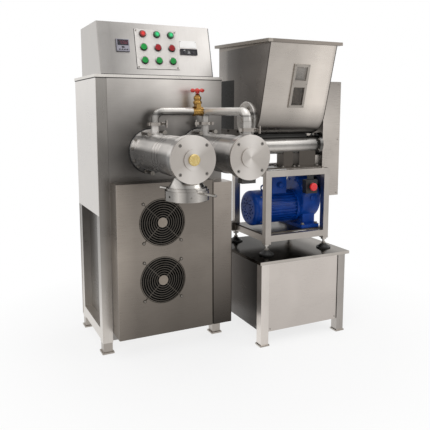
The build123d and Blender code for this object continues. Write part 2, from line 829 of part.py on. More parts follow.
def cover_bolt_places(x, cover_radius):
    circle = COVER_BOLT_SHARE * cover_radius
    turns = [radians(COVER_BOLT_TURN + 90 * index) for index in range(4)]
    return [(x + circle * cos(turn), BARREL_Z + circle * sin(turn)) for turn in turns]


def make_barrel(x, head_radius, risers):
    barrel = barrel_outside(x, head_radius)
    for y, joint_z in risers:
        barrel += riser_stub(x, y, joint_z)
    barrel -= rod_y(x, around((END_Y, 0)), BARREL_Z, BORE_R)
    for y, joint_z in risers:
        barrel -= rod_z(x, y, (BARREL_Z, joint_z + OVERRUN), PIPE_BORE_R)
    for bolt_x, bolt_z in cover_bolt_places(x, head_radius):
        barrel -= rod_y(bolt_x, (END_Y - OVERRUN, COVER_FACE_Y + COVER_BOLT_L), bolt_z, COVER_BOLT_R)
    return barrel


def make_left_barrel():
    barrel = make_barrel(LEFT_X, LEFT_COVER_R, [(PIPE_Y, REAR_JOINT_Z)])
    return barrel - rod_z(LEFT_X, DIE_Y, (NECK_BASE_Z, BARREL_Z), NECK_PORT_R)


def make_right_barrel():
    risers = [(PIPE_Y, REAR_JOINT_Z), (FRONT_RISER_Y, FRONT_JOINT_Z)]
    barrel = make_barrel(RIGHT_X, RIGHT_COVER_R, risers)
    barrel -= rod_x((RIGHT_X, RIGHT_X + FLANGE_R), FEED_Y, FEED_Z, TUBE_BORE_R)
    lug_z = (BARREL_Z - RIGHT_COVER_R - BLOCK_H, BARREL_Z - RIGHT_COVER_R + BLOCK_H)
    lug = block(about(RIGHT_X, BLOCK_W), (END_Y, END_Y + HEAD_T), lug_z)
    return barrel + (lug - rod_y(RIGHT_X, around((END_Y, END_Y + HEAD_T)), BARREL_Z, RIGHT_COVER_R))


def end_cover(x, radius):
    cover = rod_y(x, (COVER_FACE_Y, END_Y), BARREL_Z, radius)
    cover += rod_y(x, (COVER_FACE_Y - BOSS_T, COVER_FACE_Y), BARREL_Z, BOSS_R)
    for bolt_x, bolt_z in cover_bolt_places(x, radius):
        cover -= rod_y(bolt_x, around((COVER_FACE_Y, END_Y)), bolt_z, COVER_BOLT_R)
        seat = (COVER_FACE_Y - OVERRUN, COVER_FACE_Y + COVER_BOLT_SEAT_T)
        cover -= rod_y(bolt_x, seat, bolt_z, COVER_BOLT_SEAT_R)
    return cover


def make_end_covers():
    left = end_cover(LEFT_X, LEFT_COVER_R)
    left -= rod_y(LEFT_X, around((COVER_FACE_Y - BOSS_T, END_Y)), BARREL_Z, PLUG_STEM_R + RUN_FIT)
    return group([left, end_cover(RIGHT_X, RIGHT_COVER_R)])


def make_centre_plug():
    front = COVER_FACE_Y - BOSS_T
    head = rod_y(LEFT_X, (front - PLUG_T, front), BARREL_Z, PLUG_R)
    head = chamfer(head.edges().group_by(Axis.Y)[0], PLUG_T / 4)
    return head + rod_y(LEFT_X, (front, END_Y), BARREL_Z, PLUG_STEM_R)


def make_barrel_bolts():
    bolts = []
    seat_y = COVER_FACE_Y + COVER_BOLT_SEAT_T
    for x, radius in ((LEFT_X, LEFT_COVER_R), (RIGHT_X, RIGHT_COVER_R)):
        for bolt_x, bolt_z in cover_bolt_places(x, radius):
            bolt = rod_y(bolt_x, (seat_y - COVER_BOLT_HEAD_T, seat_y), bolt_z, COVER_BOLT_HEAD_R)
            shank = (seat_y, COVER_FACE_Y + COVER_BOLT_L)
            bolts.append(bolt + rod_y(bolt_x, shank, bolt_z, COVER_BOLT_R - RUN_FIT))
    for x in BARREL_XS:
        for turn in TIE_TURNS:
            place = Pos(x, 0, BARREL_Z) * Rot(0, -turn, 0)
            stud = rod_y(TIE_CIRCLE_R, (-FLANGE_T - TIE_L, -FLANGE_T), 0, TIE_R)
            nut = rod_y(TIE_CIRCLE_R, (-FLANGE_T - TIE_L, TIE_NUT_T - FLANGE_T - TIE_L), 0, TIE_NUT_R)
            bolts.append(place * (stud + nut))
        for turn in FLANGE_BOLT_TURNS:
            place = Pos(x, 0, BARREL_Z) * Rot(0, -turn, 0)
            head_y = (-FLANGE_T - FLANGE_BOLT_T, -FLANGE_T)
            bolts.append(place * rod_y(FLANGE_BOLT_CIRCLE_R, head_y, 0, FLANGE_BOLT_R))
    return group(bolts)


def make_barrel_screw(x):
    start_y = -SCREW_REAR_GAP
    length = start_y - END_Y - SCREW_TIP_GAP
    place = Pos(x, start_y, BARREL_Z) * Rot(90, 0, 0)
    thread = screw(place, BORE_R - SCREW_GAP, SCREW_ROOT_R, SCREW_PITCH, SCREW_TOOTH_W, length)
    return thread + rod_y(x, (start_y, SHAFT_INSERT), BARREL_Z, SHAFT_R)


def make_screw_drive(x):
    housing_y = (SHEET, SHEET + HOUSING_L)
    reducer_y = (housing_y[1], housing_y[1] + REDUCER_L)
    motor_y = (reducer_y[1], CABINET_D - DRIVE_REAR_GAP)
    shelf_top = DRIVE_SHELF_Z + SHELF_T
    drive = rod_y(x, housing_y, BARREL_Z, HOUSING_R)
    drive += block(about(x, REDUCER_W), reducer_y, (shelf_top, BARREL_Z + REDUCER_W / 2))
    drive += rod_y(x, motor_y, BARREL_Z, DRIVE_MOTOR_R)
    return drive - rod_y(x, (-OVERRUN, SHAFT_INSERT + OVERRUN), BARREL_Z, SHAFT_R + RUN_FIT)


def make_screw_drives():
    return group([make_screw_drive(x) for x in BARREL_XS])


# Die head
def make_die_neck():
    neck = rod_z(LEFT_X, DIE_Y, (NECK_CONE_Z, NECK_TOP_Z), NECK_TOP_R)
    cone_height = NECK_CONE_Z - NECK_BASE_Z
    cone = Cone(NECK_R, NECK_TOP_R, cone_height)
    neck += Pos(LEFT_X, DIE_Y, NECK_BASE_Z + cone_height / 2) * cone
    neck += rod_z(LEFT_X, DIE_Y, (DIE_SEAT_Z, NECK_BASE_Z), DIE_R)
    neck -= barrel_outside(LEFT_X, LEFT_COVER_R)
    neck -= rod_y(LEFT_X, (COVER_FACE_Y - OVERRUN, END_Y), BARREL_Z, LEFT_COVER_R + SLIDE_GAP)
    return neck - rod_z(LEFT_X, DIE_Y, (DIE_SEAT_Z - OVERRUN, BARREL_Z), NECK_PORT_R)


def make_die_plate():
    z = (DIE_SEAT_Z - DIE_T, DIE_SEAT_Z)
    plate = rod_z(0, 0, z, DIE_R)
    holes = [rod_z(0, 0, around(z), DIE_HOLE_R)]
    for ring in range(1, DIE_HOLE_RINGS + 1):
        count = 6 * ring
        for index in range(count):
            turn = 2 * pi * index / count
            x = ring * DIE_HOLE_PITCH * cos(turn)
            y = ring * DIE_HOLE_PITCH * sin(turn)
            holes.append(rod_z(x, y, around(z), DIE_HOLE_R))
    return Pos(LEFT_X, DIE_Y, 0) * (plate - holes)


def make_die_ring():
    z = (RING_BOTTOM_Z, RING_TOP_Z)
    ring = rod_z(0, 0, (z[0], z[1] - RING_STEP_T), RING_R)
    ring = chamfer(ring.edges().group_by(Axis.Z)[0], RING_LIP_T / 4)
    ring += rod_z(0, 0, z, RING_STEP_R)
    lip_top = DIE_SEAT_Z - DIE_T
    ring -= rod_z(0, 0, (lip_top, z[1] + OVERRUN), DIE_R + DIE_GAP)
    ring -= rod_z(0, 0, around(z), RING_LIP_R)
    middle = (z[0] + z[1] - RING_STEP_T) / 2
    hole = rod_x((RING_R - RING_HOLE_DEPTH, RING_R + OVERRUN), 0, middle, RING_HOLE_R)
    for index in range(RING_HOLE_COUNT):
        ring -= Rot(0, 0, HANDLE_TURN + 360 * (index + 1 / 2) / RING_HOLE_COUNT) * hole
    handle = rod_x((RING_R - RING_HOLE_DEPTH, RING_R + HANDLE_L), 0, HANDLE_Z, HANDLE_R)
    handle = fillet(handle.edges().group_by(Axis.X)[-1], HANDLE_R / 3)
    for turn in (HANDLE_TURN, HANDLE_TURN + 180):
        ring += Rot(0, 0, turn) * handle
    return Pos(LEFT_X, DIE_Y, 0) * ring


# Transfer pipe and valve
def bent_pipe(points, radius):
    """A round bar that follows straight runs joined by bends."""
    path = FilletPolyline(*points, radius=PIPE_BEND_R)
    start = Plane(origin=path @ 0, z_dir=path % 0)
    return sweep(start * Circle(radius), path=path)


valve_ends = about(VALVE_X, VALVE_L)
left_pipe_points = ((LEFT_X, PIPE_Y, REAR_JOINT_Z), (LEFT_X, PIPE_Y, PIPE_Z), (valve_ends[0], PIPE_Y, PIPE_Z))
right_pipe_points = (
    (RIGHT_X, PIPE_Y, PIPE_Z),
    (RIGHT_X, FRONT_RISER_Y, PIPE_Z),
    (RIGHT_X, FRONT_RISER_Y, FRONT_JOINT_Z),
)


def make_left_pipe():
    pipe = bent_pipe(left_pipe_points, PIPE_R) - bent_pipe(left_pipe_points, PIPE_BORE_R)
    ferrule_z = (REAR_JOINT_Z, REAR_JOINT_Z + FERRULE_T)
    ferrule = rod_z(LEFT_X, PIPE_Y, ferrule_z, FERRULE_R)
    return pipe + (ferrule - rod_z(LEFT_X, PIPE_Y, around(ferrule_z), PIPE_R))


def make_right_pipe():
    def run(radius):
        pipe = bent_pipe(right_pipe_points, radius)
        pipe += rod_x((valve_ends[1], RIGHT_X), PIPE_Y, PIPE_Z, radius)
        pipe += rod_z(RIGHT_X, PIPE_Y, (REAR_JOINT_Z, PIPE_Z), radius)
        return pipe + Pos(RIGHT_X, PIPE_Y, PIPE_Z) * Sphere(radius)

    pipe = run(PIPE_R) - block((VALVE_X, valve_ends[1]), about(PIPE_Y, 4 * PIPE_R), about(PIPE_Z, 4 * PIPE_R))
    for y, joint_z in ((PIPE_Y, REAR_JOINT_Z), (FRONT_RISER_Y, FRONT_JOINT_Z)):
        pipe += rod_z(RIGHT_X, y, (joint_z, joint_z + FERRULE_T), FERRULE_R)
    return pipe - run(PIPE_BORE_R)


def pipe_clamp(x, y, joint_z, turn):
    """A hinged ring round two ferrules, drawn together by a wing nut."""
    z = about(0, CLAMP_H)
    clamp = rod_z(0, 0, z, CLAMP_R)
    ear_x = (CLAMP_R - CLAMP_H / 2, CLAMP_R + CLAMP_EAR_L)
    clamp += block(ear_x, about(0, CLAMP_EAR_W), about(0, CLAMP_H))
    clamp += block((-ear_x[1] + CLAMP_EAR_L / 2, -ear_x[0]), about(0, CLAMP_EAR_W), about(0, CLAMP_H))
    wing_x = CLAMP_R + CLAMP_EAR_L / 2
    clamp += rod_y(wing_x, (-WING_L, 0), 0, WING_R)
    clamp += block(about(wing_x, WING_T), (-WING_L, WING_T - WING_L), about(0, WING_SPAN))
    clamp -= rod_z(0, 0, around(z), FERRULE_R + CLAMP_GAP)
    return Pos(x, y, joint_z) * Rot(0, 0, turn) * clamp


def make_pipe_clamps():
    return group([
        pipe_clamp(LEFT_X, PIPE_Y, REAR_JOINT_Z, CLAMP_TURN),
        pipe_clamp(RIGHT_X, PIPE_Y, REAR_JOINT_Z, 180 - CLAMP_TURN),
        pipe_clamp(RIGHT_X, FRONT_RISER_Y, FRONT_JOINT_Z, CLAMP_TURN),
    ])


neck_top_z = PIPE_Z + NECK_H
bonnet_top_z = neck_top_z - BONNET_LAP + BONNET_H
gland_z = bonnet_top_z + WAIST_H
gland_top_z = gland_z + GLAND_H
gland_nut_top_z = gland_top_z + GLAND_NUT_H
gate_top_z = neck_top_z - GATE_LIFT - SLIDE_GAP


def hexagon_z(z, radius):
    return Pos(0, 0, z[0]) * extrude(RegularPolygon(radius, 6), z[1] - z[0])


def bead(z, radius):
    """A round collar with both edges rounded."""
    return fillet(rod_z(0, 0, z, radius).edges().filter_by(GeomType.CIRCLE), (z[1] - z[0]) * BEAD_SHARE)


def make_valve_body():
    body = rod_x(about(0, VALVE_L), 0, PIPE_Z, VALVE_MID_R)
    for low in (-VALVE_L / 2, VALVE_L / 2 - VALVE_END_L):
        body += Pos(low, 0, PIPE_Z) * Rot(0, 90, 0) * extrude(RegularPolygon(VALVE_END_R, 6), VALVE_END_L)
    body += block(about(0, NECK_W), about(0, NECK_D), (PIPE_Z, neck_top_z))
    body += bead((bonnet_top_z - BONNET_H, bonnet_top_z), BONNET_R)
    body += rod_z(0, 0, (neck_top_z, gland_top_z), WAIST_R)
    body += bead((gland_z, gland_top_z), GLAND_R)
    nut = Cone(GLAND_NUT_R, GLAND_TIP_R, GLAND_NUT_H)
    body += Pos(0, 0, gland_top_z + GLAND_NUT_H / 2) * nut
    body -= rod_x(around(about(0, VALVE_L)), 0, PIPE_Z, PIPE_BORE_R)
    chamber_x = about(0, GATE_T + 2 * GATE_GAP)
    chamber_y = about(0, GATE_W + 2 * GATE_GAP)
    body -= block(chamber_x, chamber_y, (PIPE_Z, neck_top_z))
    body -= rod_x(chamber_x, 0, PIPE_Z, GATE_W / 2 + GATE_GAP)
    body -= rod_z(0, 0, (neck_top_z - OVERRUN, gland_nut_top_z + OVERRUN), STEM_R + RUN_FIT)
    return Pos(VALVE_X, PIPE_Y, 0) * body


def make_valve_gate():
    thickness = about(0, GATE_T)
    gate = rod_x(thickness, 0, PIPE_Z, GATE_W / 2)
    gate += block(thickness, about(0, GATE_W), (PIPE_Z, gate_top_z))
    gate -= rod_z(0, 0, around((PIPE_Z - GATE_W, gate_top_z)), GATE_SCREW_R + RUN_FIT)
    return Pos(VALVE_X, PIPE_Y, 0) * gate


def make_valve_wheel():
    rim_z = about(WHEEL_Z, 2 * WHEEL_RIM_R)
    wheel = rod_z(0, 0, rim_z, WHEEL_R + WHEEL_RIM_R)
    wheel -= rod_z(0, 0, around(rim_z), WHEEL_R - WHEEL_RIM_R)
    wheel = fillet(wheel.edges().filter_by(GeomType.CIRCLE), WHEEL_RIM_R * WHEEL_ROUND_SHARE)
    hub_z = (WHEEL_Z - WHEEL_HUB_DROP, WHEEL_Z + WHEEL_HUB_H)
    wheel += rod_z(0, 0, hub_z, WHEEL_HUB_R)
    lobe = rod_z(WHEEL_R + WHEEL_RIM_R - WHEEL_LOBE_R, 0, about(WHEEL_Z, WHEEL_LOBE_H), WHEEL_LOBE_R)
    lobe = fillet(lobe.edges().filter_by(GeomType.CIRCLE), WHEEL_LOBE_H * WHEEL_LOBE_SHARE)
    for index in range(WHEEL_SPOKE_COUNT):
        spoke = rod_x((0, WHEEL_R), 0, WHEEL_Z, WHEEL_SPOKE_R)
        wheel += Rot(0, 0, 360 * index / WHEEL_SPOKE_COUNT) * (spoke + lobe)
    wheel += hexagon_z((hub_z[1], hub_z[1] + WHEEL_NUT_H), WHEEL_NUT_R)
    wheel += rod_z(0, 0, (neck_top_z, hub_z[0]), STEM_R)
    wheel += rod_z(0, 0, (gate_top_z - GATE_SCREW_HOLD, neck_top_z), GATE_SCREW_R)
    return Pos(VALVE_X, PIPE_Y, 0) * wheel


# Feed tube and feed screw
trough_bottom_z = TROUGH_Z - TROUGH_R
throat_x = (THROAT_X, THROAT_X + THROAT_L)
throat_y = about(FEED_Y, THROAT_W)
throat_inner_x = (throat_x[0] + HOPPER_WALL, throat_x[1] - HOPPER_WALL)
throat_inner_y = (throat_y[0] + HOPPER_WALL, throat_y[1] - HOPPER_WALL)
tube_flange_x = (TUBE_END_X, TUBE_END_X + TUBE_FLANGE_T)


def make_feed_tube():
    tube = rod_x((TUBE_START_X, TUBE_END_X), FEED_Y, FEED_Z, TUBE_R)
    tube += block(throat_x, throat_y, (FEED_Z, trough_bottom_z))
    tube -= block(throat_inner_x, throat_inner_y, (FEED_Z, trough_bottom_z + OVERRUN))
    tube -= rod_x((TUBE_START_X - OVERRUN, TUBE_END_X), FEED_Y, FEED_Z, TUBE_BORE_R)
    tube -= rod_y(RIGHT_X, (END_Y, 0), BARREL_Z, BARREL_R)
    tube += rod_x(tube_flange_x, FEED_Y, FEED_Z, TUBE_FLANGE_R)
    return tube - rod_x(around(tube_flange_x), FEED_Y, FEED_Z, FEED_SHAFT_R + RUN_FIT)


def sprocket(x, y, z):
    """A toothed wheel drawn as its smooth outer disc."""
    return rod_x(about(x, SPROCKET_T), y, z, SPROCKET_R)


def make_feed_screw():
    start = RIGHT_X + BARREL_R + FEED_START_GAP
    end = TUBE_END_X - FEED_END_GAP
    place = Pos(start, FEED_Y, FEED_Z) * Rot(0, 90, 0)
    thread = screw(place, TUBE_BORE_R - FEED_GAP, FEED_ROOT_R, FEED_PITCH, FEED_TOOTH_W, end - start)
    thread += rod_x((end, UPPER_CHAIN_X + SHAFT_TAIL), FEED_Y, FEED_Z, FEED_SHAFT_R)
    for x in (LOWER_CHAIN_X, UPPER_CHAIN_X):
        thread += sprocket(x, FEED_Y, FEED_Z)
    return thread


# Hopper, drawn as a section in Y and Z
front_lean = radians(FRONT_LEAN)
back_lean = radians(BACK_LEAN)
front_foot = (FEED_Y - TROUGH_R * cos(front_lean), TROUGH_Z - TROUGH_R * sin(front_lean))
back_foot = (FEED_Y + TROUGH_R * cos(back_lean), TROUGH_Z - TROUGH_R * sin(back_lean))
back_corner = (HOPPER_BACK_Y, back_foot[1] + (HOPPER_BACK_Y - back_foot[0]) / tan(back_lean))
trough_bottom = (FEED_Y, trough_bottom_z)
hopper_face = Plane(
    origin=(HOPPER_X, *front_foot),
    x_dir=(1, 0, 0),
    z_dir=(0, -cos(front_lean), -sin(front_lean)),
).location
window_centre = (WINDOW_U + WINDOW_W / 2, WINDOW_V + WINDOW_H / 2)
wall_inner_x = (HOPPER_X + HOPPER_WALL, HOPPER_END_X - HOPPER_WALL)


def front_top(top):
    return front_foot[0] - (top - front_foot[1]) * tan(front_lean), top


rim_front_y = front_top(HOPPER_TOP_Z)[0]
rim_ys = (rim_front_y - RIM_FRONT, HOPPER_BACK_Y + RIM_FRONT)


def rim_height(y):
    """The height of the rim's upper face, which rises towards the back."""
    return HOPPER_TOP_Z + RIM_RISE * (y - rim_front_y) / (HOPPER_BACK_Y - rim_front_y)


def wrap_section(top):
    """The bent sheet's outline: leaning front, rounded trough, sloping and upright back."""
    lines = Line(front_top(top), front_foot) + ThreePointArc(front_foot, trough_bottom, back_foot)
    lines += Polyline(back_foot, back_corner, (HOPPER_BACK_Y, top + RIM_RISE), front_top(top))
    return make_face(lines)


def end_section():
    """The end plate's outline: as the bent sheet in front, and square at the back."""
    middle = (front_lean + pi / 2) / 2
    arc_middle = (FEED_Y - TROUGH_R * cos(middle), TROUGH_Z - TROUGH_R * sin(middle))
    lines = Line(front_top(HOPPER_TOP_Z), front_foot)
    lines += ThreePointArc(front_foot, arc_middle, trough_bottom)
    corner = (HOPPER_BACK_Y, trough_bottom_z)
    back_top = (HOPPER_BACK_Y, HOPPER_TOP_Z + RIM_RISE)
    lines += Polyline(trough_bottom, corner, back_top, front_top(HOPPER_TOP_Z))
    return make_face(lines)


def on_hopper(u, v, shape):
    """Moves a shape drawn at the origin to a place on the hopper's leaning front."""
    return hopper_face * (Pos(u, v, 0) * shape)


def make_hopper_shell():
    wrap_l = wall_inner_x[1] - wall_inner_x[0]
    wrap = extrude(Plane.YZ * wrap_section(HOPPER_TOP_Z), wrap_l)
    hollow_section = offset(wrap_section(HOPPER_TOP_Z + OVERRUN), amount=-HOPPER_WALL)
    wrap -= Pos(-OVERRUN, 0, 0) * extrude(Plane.YZ * hollow_section, wrap_l + 2 * OVERRUN)
    wrap = Pos(wall_inner_x[0], 0, 0) * wrap
    wrap -= block(throat_inner_x, throat_inner_y, around((trough_bottom_z, trough_bottom_z)))
    glass = Box(WINDOW_W - 2 * GLASS_LAP, WINDOW_H - 2 * GLASS_LAP, 2 * OVERRUN)
    wrap -= on_hopper(*window_centre, glass)
    plate = extrude(Plane.YZ * end_section(), HOPPER_WALL)
    ends = []
    for x in (HOPPER_X, wall_inner_x[1]):
        hole_x = around((x, x + HOPPER_WALL))
        ends.append(Pos(x, 0, 0) * plate - rod_x(hole_x, FEED_Y, AGITATOR_Z, AGITATOR_R + SHAFT_CLEAR))
    upper = [(y, rim_height(y)) for y in rim_ys]
    lower = [(y, z - RIM_H) for y, z in reversed(upper)]
    rim = extrude(Plane.YZ * make_face(Polyline(*upper, *lower, close=True)), HOPPER_W + 2 * RIM_SIDE)
    rim = Pos(HOPPER_X - RIM_SIDE, 0, 0) * rim
    filled = extrude(Plane.YZ * wrap_section(HOPPER_TOP_Z + OVERRUN), HOPPER_W)
    rim -= Pos(HOPPER_X, 0, 0) * filled
    return group([wrap, *ends, rim])


def make_window_frame():
    frame = Pos(0, 0, WINDOW_T / 2) * Box(WINDOW_W, WINDOW_H, WINDOW_T)
    opening_w = WINDOW_W - 2 * WINDOW_BORDER
    bottom = -WINDOW_H / 2
    bar = (bottom + WINDOW_BAR_V, bottom + WINDOW_BAR_V + WINDOW_BAR_H)
    for low, high in ((bottom + WINDOW_BORDER, bar[0]), (bar[1], -bottom - WINDOW_BORDER)):
        frame -= block(about(0, opening_w), (low, high), around((0, WINDOW_T)))
    return on_hopper(*window_centre, frame)


def make_window_glass():
    pane = Box(WINDOW_W - 2 * GLASS_LAP, WINDOW_H - 2 * GLASS_LAP, HOPPER_WALL)
    return on_hopper(*window_centre, Pos(0, 0, -HOPPER_WALL / 2) * pane)


small_bearing_x = (HOPPER_END_X, HOPPER_END_X + SMALL_BEARING_T)
hub_face_x = HOPPER_X - BEARING_T - HUB_T


def make_agitator():
    shaft_x = (hub_face_x, UPPER_CHAIN_X + SHAFT_TAIL)
    agitator = rod_x(shaft_x, FEED_Y, AGITATOR_Z, AGITATOR_R)
    span = (wall_inner_x[0] + PADDLE_END_GAP, wall_inner_x[1] - PADDLE_END_GAP)
    step = (span[1] - span[0]) / (PADDLE_COUNT - 1)
    for index in range(PADDLE_COUNT):
        paddle = rod_z(0, 0, (-PADDLE_L, PADDLE_L), PADDLE_R)
        place = Pos(span[0] + index * step, FEED_Y, AGITATOR_Z) * Rot(PADDLE_TURN * index, 0, 0)
        agitator += place * paddle
    return agitator + sprocket(UPPER_CHAIN_X, FEED_Y, AGITATOR_Z)


def make_shaft_bearings():
    disc_x = (HOPPER_X - BEARING_T, HOPPER_X)
    left = rod_x(disc_x, FEED_Y, AGITATOR_Z, BEARING_R)
    left = fillet(left.edges().group_by(Axis.X)[0], BEARING_T / 2)
    left += rod_x((hub_face_x, disc_x[0]), FEED_Y, AGITATOR_Z, HUB_R)
    left -= rod_x(around(disc_x), FEED_Y, FEED_Z, TUBE_R + TUBE_CLEAR)
    right = rod_x(small_bearing_x, FEED_Y, AGITATOR_Z, SMALL_BEARING_R)
    bore = rod_x(around((hub_face_x, small_bearing_x[1])), FEED_Y, AGITATOR_Z, AGITATOR_R + RUN_FIT)
    return group([left - bore, right - bore])


# Chain guard, sprockets and chains
def make_chain_guard():
    y = (GUARD_Y, GUARD_END_Y)
    outer = block((GUARD_X, GUARD_END_X), y, (FRAME_TOP_Z, GUARD_TOP_Z))
    outer += block((FRAME_END_X, GUARD_END_X), y, (GUARD_Z, FRAME_TOP_Z))
    inner_y = (y[0] + SHEET, y[1] - SHEET)
    inner_end_x = GUARD_END_X - SHEET
    inner = block((GUARD_X + SHEET, inner_end_x), inner_y, (FRAME_TOP_Z + SHEET, GUARD_TOP_Z - SHEET))
    inner += block((FRAME_END_X + SHEET, inner_end_x), inner_y, (GUARD_Z + SHEET, GUARD_TOP_Z - SHEET))
    guard = outer - inner
    wall_x = around((GUARD_X, GUARD_X + SHEET))
    guard -= rod_x(wall_x, FEED_Y, FEED_Z, FEED_SHAFT_R + SHAFT_CLEAR)
    guard -= rod_x(wall_x, FEED_Y, AGITATOR_Z, AGITATOR_R + SHAFT_CLEAR)
    low_wall_x = around((FRAME_END_X, FRAME_END_X + SHEET))
    return guard - rod_x(low_wall_x, MOTOR_Y, OUTPUT_Z, OUTPUT_R + SHAFT_CLEAR)


def make_output_sprocket():
    shaft_x = (GEAR_X + GEAR_L / 2, LOWER_CHAIN_X + SHAFT_TAIL)
    return rod_x(shaft_x, MOTOR_Y, OUTPUT_Z, OUTPUT_R) + sprocket(LOWER_CHAIN_X, MOTOR_Y, OUTPUT_Z)


def chain_loop(x, low, high):
    """A closed chain round two equal sprockets, given as places in Y and Z."""
    run = hypot(high[0] - low[0], high[1] - low[1])
    turn = degrees(atan2(low[0] - high[0], high[1] - low[1]))
    inner = SPROCKET_R + CHAIN_GAP
    outer = inner + CHAIN_T
    loop = extrude(Pos(0, run / 2) * (SlotCenterToCenter(run, 2 * outer, rotation=90)
                                      - SlotCenterToCenter(run, 2 * inner, rotation=90)), CHAIN_W)
    upright = Plane.YZ.location * (Pos(0, 0, -CHAIN_W / 2) * Rot(0, 0, turn) * loop)
    return Pos(x, *low) * upright


def make_drive_chains():
    output = (MOTOR_Y, OUTPUT_Z)
    feed = (FEED_Y, FEED_Z)
    agitator = (FEED_Y, AGITATOR_Z)
    return group([chain_loop(LOWER_CHAIN_X, output, feed), chain_loop(UPPER_CHAIN_X, feed, agitator)])


# Gear motor
motor_body_x = (MOTOR_X + FAN_COVER_L, MOTOR_FLANGE_X)


def make_motor_housing():
    body = rod_x(motor_body_x, MOTOR_Y, MOTOR_Z, MOTOR_BODY_R)
    fins = []
    for index in range(FIN_COUNT):
        fin = block(motor_body_x, about(0, FIN_T), (0, MOTOR_BODY_R + FIN_H))
        turn = 360 * (index + 1 / 2) / FIN_COUNT
        fins.append(Pos(0, MOTOR_Y, MOTOR_Z) * Rot(turn, 0, 0) * fin)
    body = body + fins
    body += rod_x((MOTOR_FLANGE_X, GEAR_X), MOTOR_Y, MOTOR_Z, MOTOR_FLANGE_R)
    terminal_x = (TERMINAL_X, TERMINAL_X + TERMINAL_W)
    terminal_z = (TERMINAL_Z, TERMINAL_Z + TERMINAL_H)
    terminal = block(terminal_x, about(MOTOR_Y, TERMINAL_D), terminal_z)
    body -= block(terminal_x, about(MOTOR_Y, 2 * FAN_COVER_R), terminal_z)
    terminal = fillet(terminal.edges().filter_by(Axis.Z), TERMINAL_EDGE_R)
    body -= rod_x(around((motor_body_x[0], GEAR_X)), MOTOR_Y, MOTOR_Z, ROTOR_R + RUN_FIT)
    cover_x = (MOTOR_X, MOTOR_X + FAN_COVER_L)
    cover = rod_x(cover_x, MOTOR_Y, MOTOR_Z, FAN_COVER_R)
    cover = fillet(cover.edges().group_by(Axis.X)[0], FAN_COVER_L * FAN_COVER_ROUND_SHARE)
    cover -= rod_x((MOTOR_X + SHEET, cover_x[1] + OVERRUN), MOTOR_Y, MOTOR_Z, FAN_COVER_R - FAN_COVER_WALL)
    hole = rod_x(around((MOTOR_X, MOTOR_X + SHEET)), 0, 0, VENT_HOLE_R)
    holes = []
    for ring in range(VENT_RING_COUNT):
        radius = (ring + 2) * VENT_RING_PITCH
        for index in range(VENT_HOLE_COUNT):
            turn = 360 * (index + ring / 2) / VENT_HOLE_COUNT
            holes.append(Pos(0, MOTOR_Y, MOTOR_Z) * Rot(turn, 0, 0) * Pos(0, 0, radius) * hole)
    return group([body, cover - holes, terminal])


def make_gear_case():
    gear_x = (GEAR_X, GEAR_X + GEAR_L)
    case = rod_x(gear_x, MOTOR_Y, GEAR_Z, GEAR_R)
    case = fillet(case.edges(), GEAR_EDGE_R)
    upper = rod_x(gear_x, MOTOR_Y, OUTPUT_Z, OUTPUT_CASE_R)
    case += fillet(upper.edges().filter_by(GeomType.CIRCLE), GEAR_EDGE_R)
    plate_top = MOTOR_PLATE_Z + MOTOR_PLATE_T
    foot_x = (GEAR_FOOT_X, GEAR_FOOT_X + GEAR_FOOT_L)
    post_x = about(GEAR_X + GEAR_L / 2, GEAR_POST_W)
    case += block(post_x, about(MOTOR_Y, GEAR_POST_D), (plate_top, MOTOR_Z))
    foot_base = block(foot_x, about(MOTOR_Y, GEAR_FOOT_D), (plate_top, plate_top + GEAR_FOOT_T))
    case += fillet(foot_base.edges().filter_by(Axis.Z), GEAR_EDGE_R)
    case -= rod_x((GEAR_X - OVERRUN, GEAR_X + GEAR_L / 2), MOTOR_Y, MOTOR_Z, ROTOR_R + RUN_FIT)
    shaft_x = (GEAR_X + GEAR_L / 2, gear_x[1] + OVERRUN)
    return case - rod_x(shaft_x, MOTOR_Y, OUTPUT_Z, OUTPUT_R + RUN_FIT)


def make_motor_rotor():
    fan_x = (MOTOR_X + ROTOR_SETBACK, MOTOR_X + ROTOR_SETBACK + ROTOR_FAN_T)
    rotor = rod_x((fan_x[0], GEAR_X + GEAR_L / 3), 0, 0, ROTOR_R)
    rotor += rod_x(fan_x, 0, 0, ROTOR_HUB_R)
    for index in range(ROTOR_BLADE_COUNT):
        blade = block(fan_x, about(0, ROTOR_BLADE_T), (0, ROTOR_FAN_R))
        rotor += Rot(360 * index / ROTOR_BLADE_COUNT, 0, 0) * blade
    return Pos(0, MOTOR_Y, MOTOR_Z) * rotor


# Motor frame, its feet and what stands on it
frame_xs = ((FRAME_X, FRAME_X + FRAME_TUBE), (FRAME_END_X - FRAME_TUBE, FRAME_END_X))
frame_ys = ((FRAME_Y, FRAME_Y + FRAME_TUBE), (FRAME_END_Y - FRAME_TUBE, FRAME_END_Y))


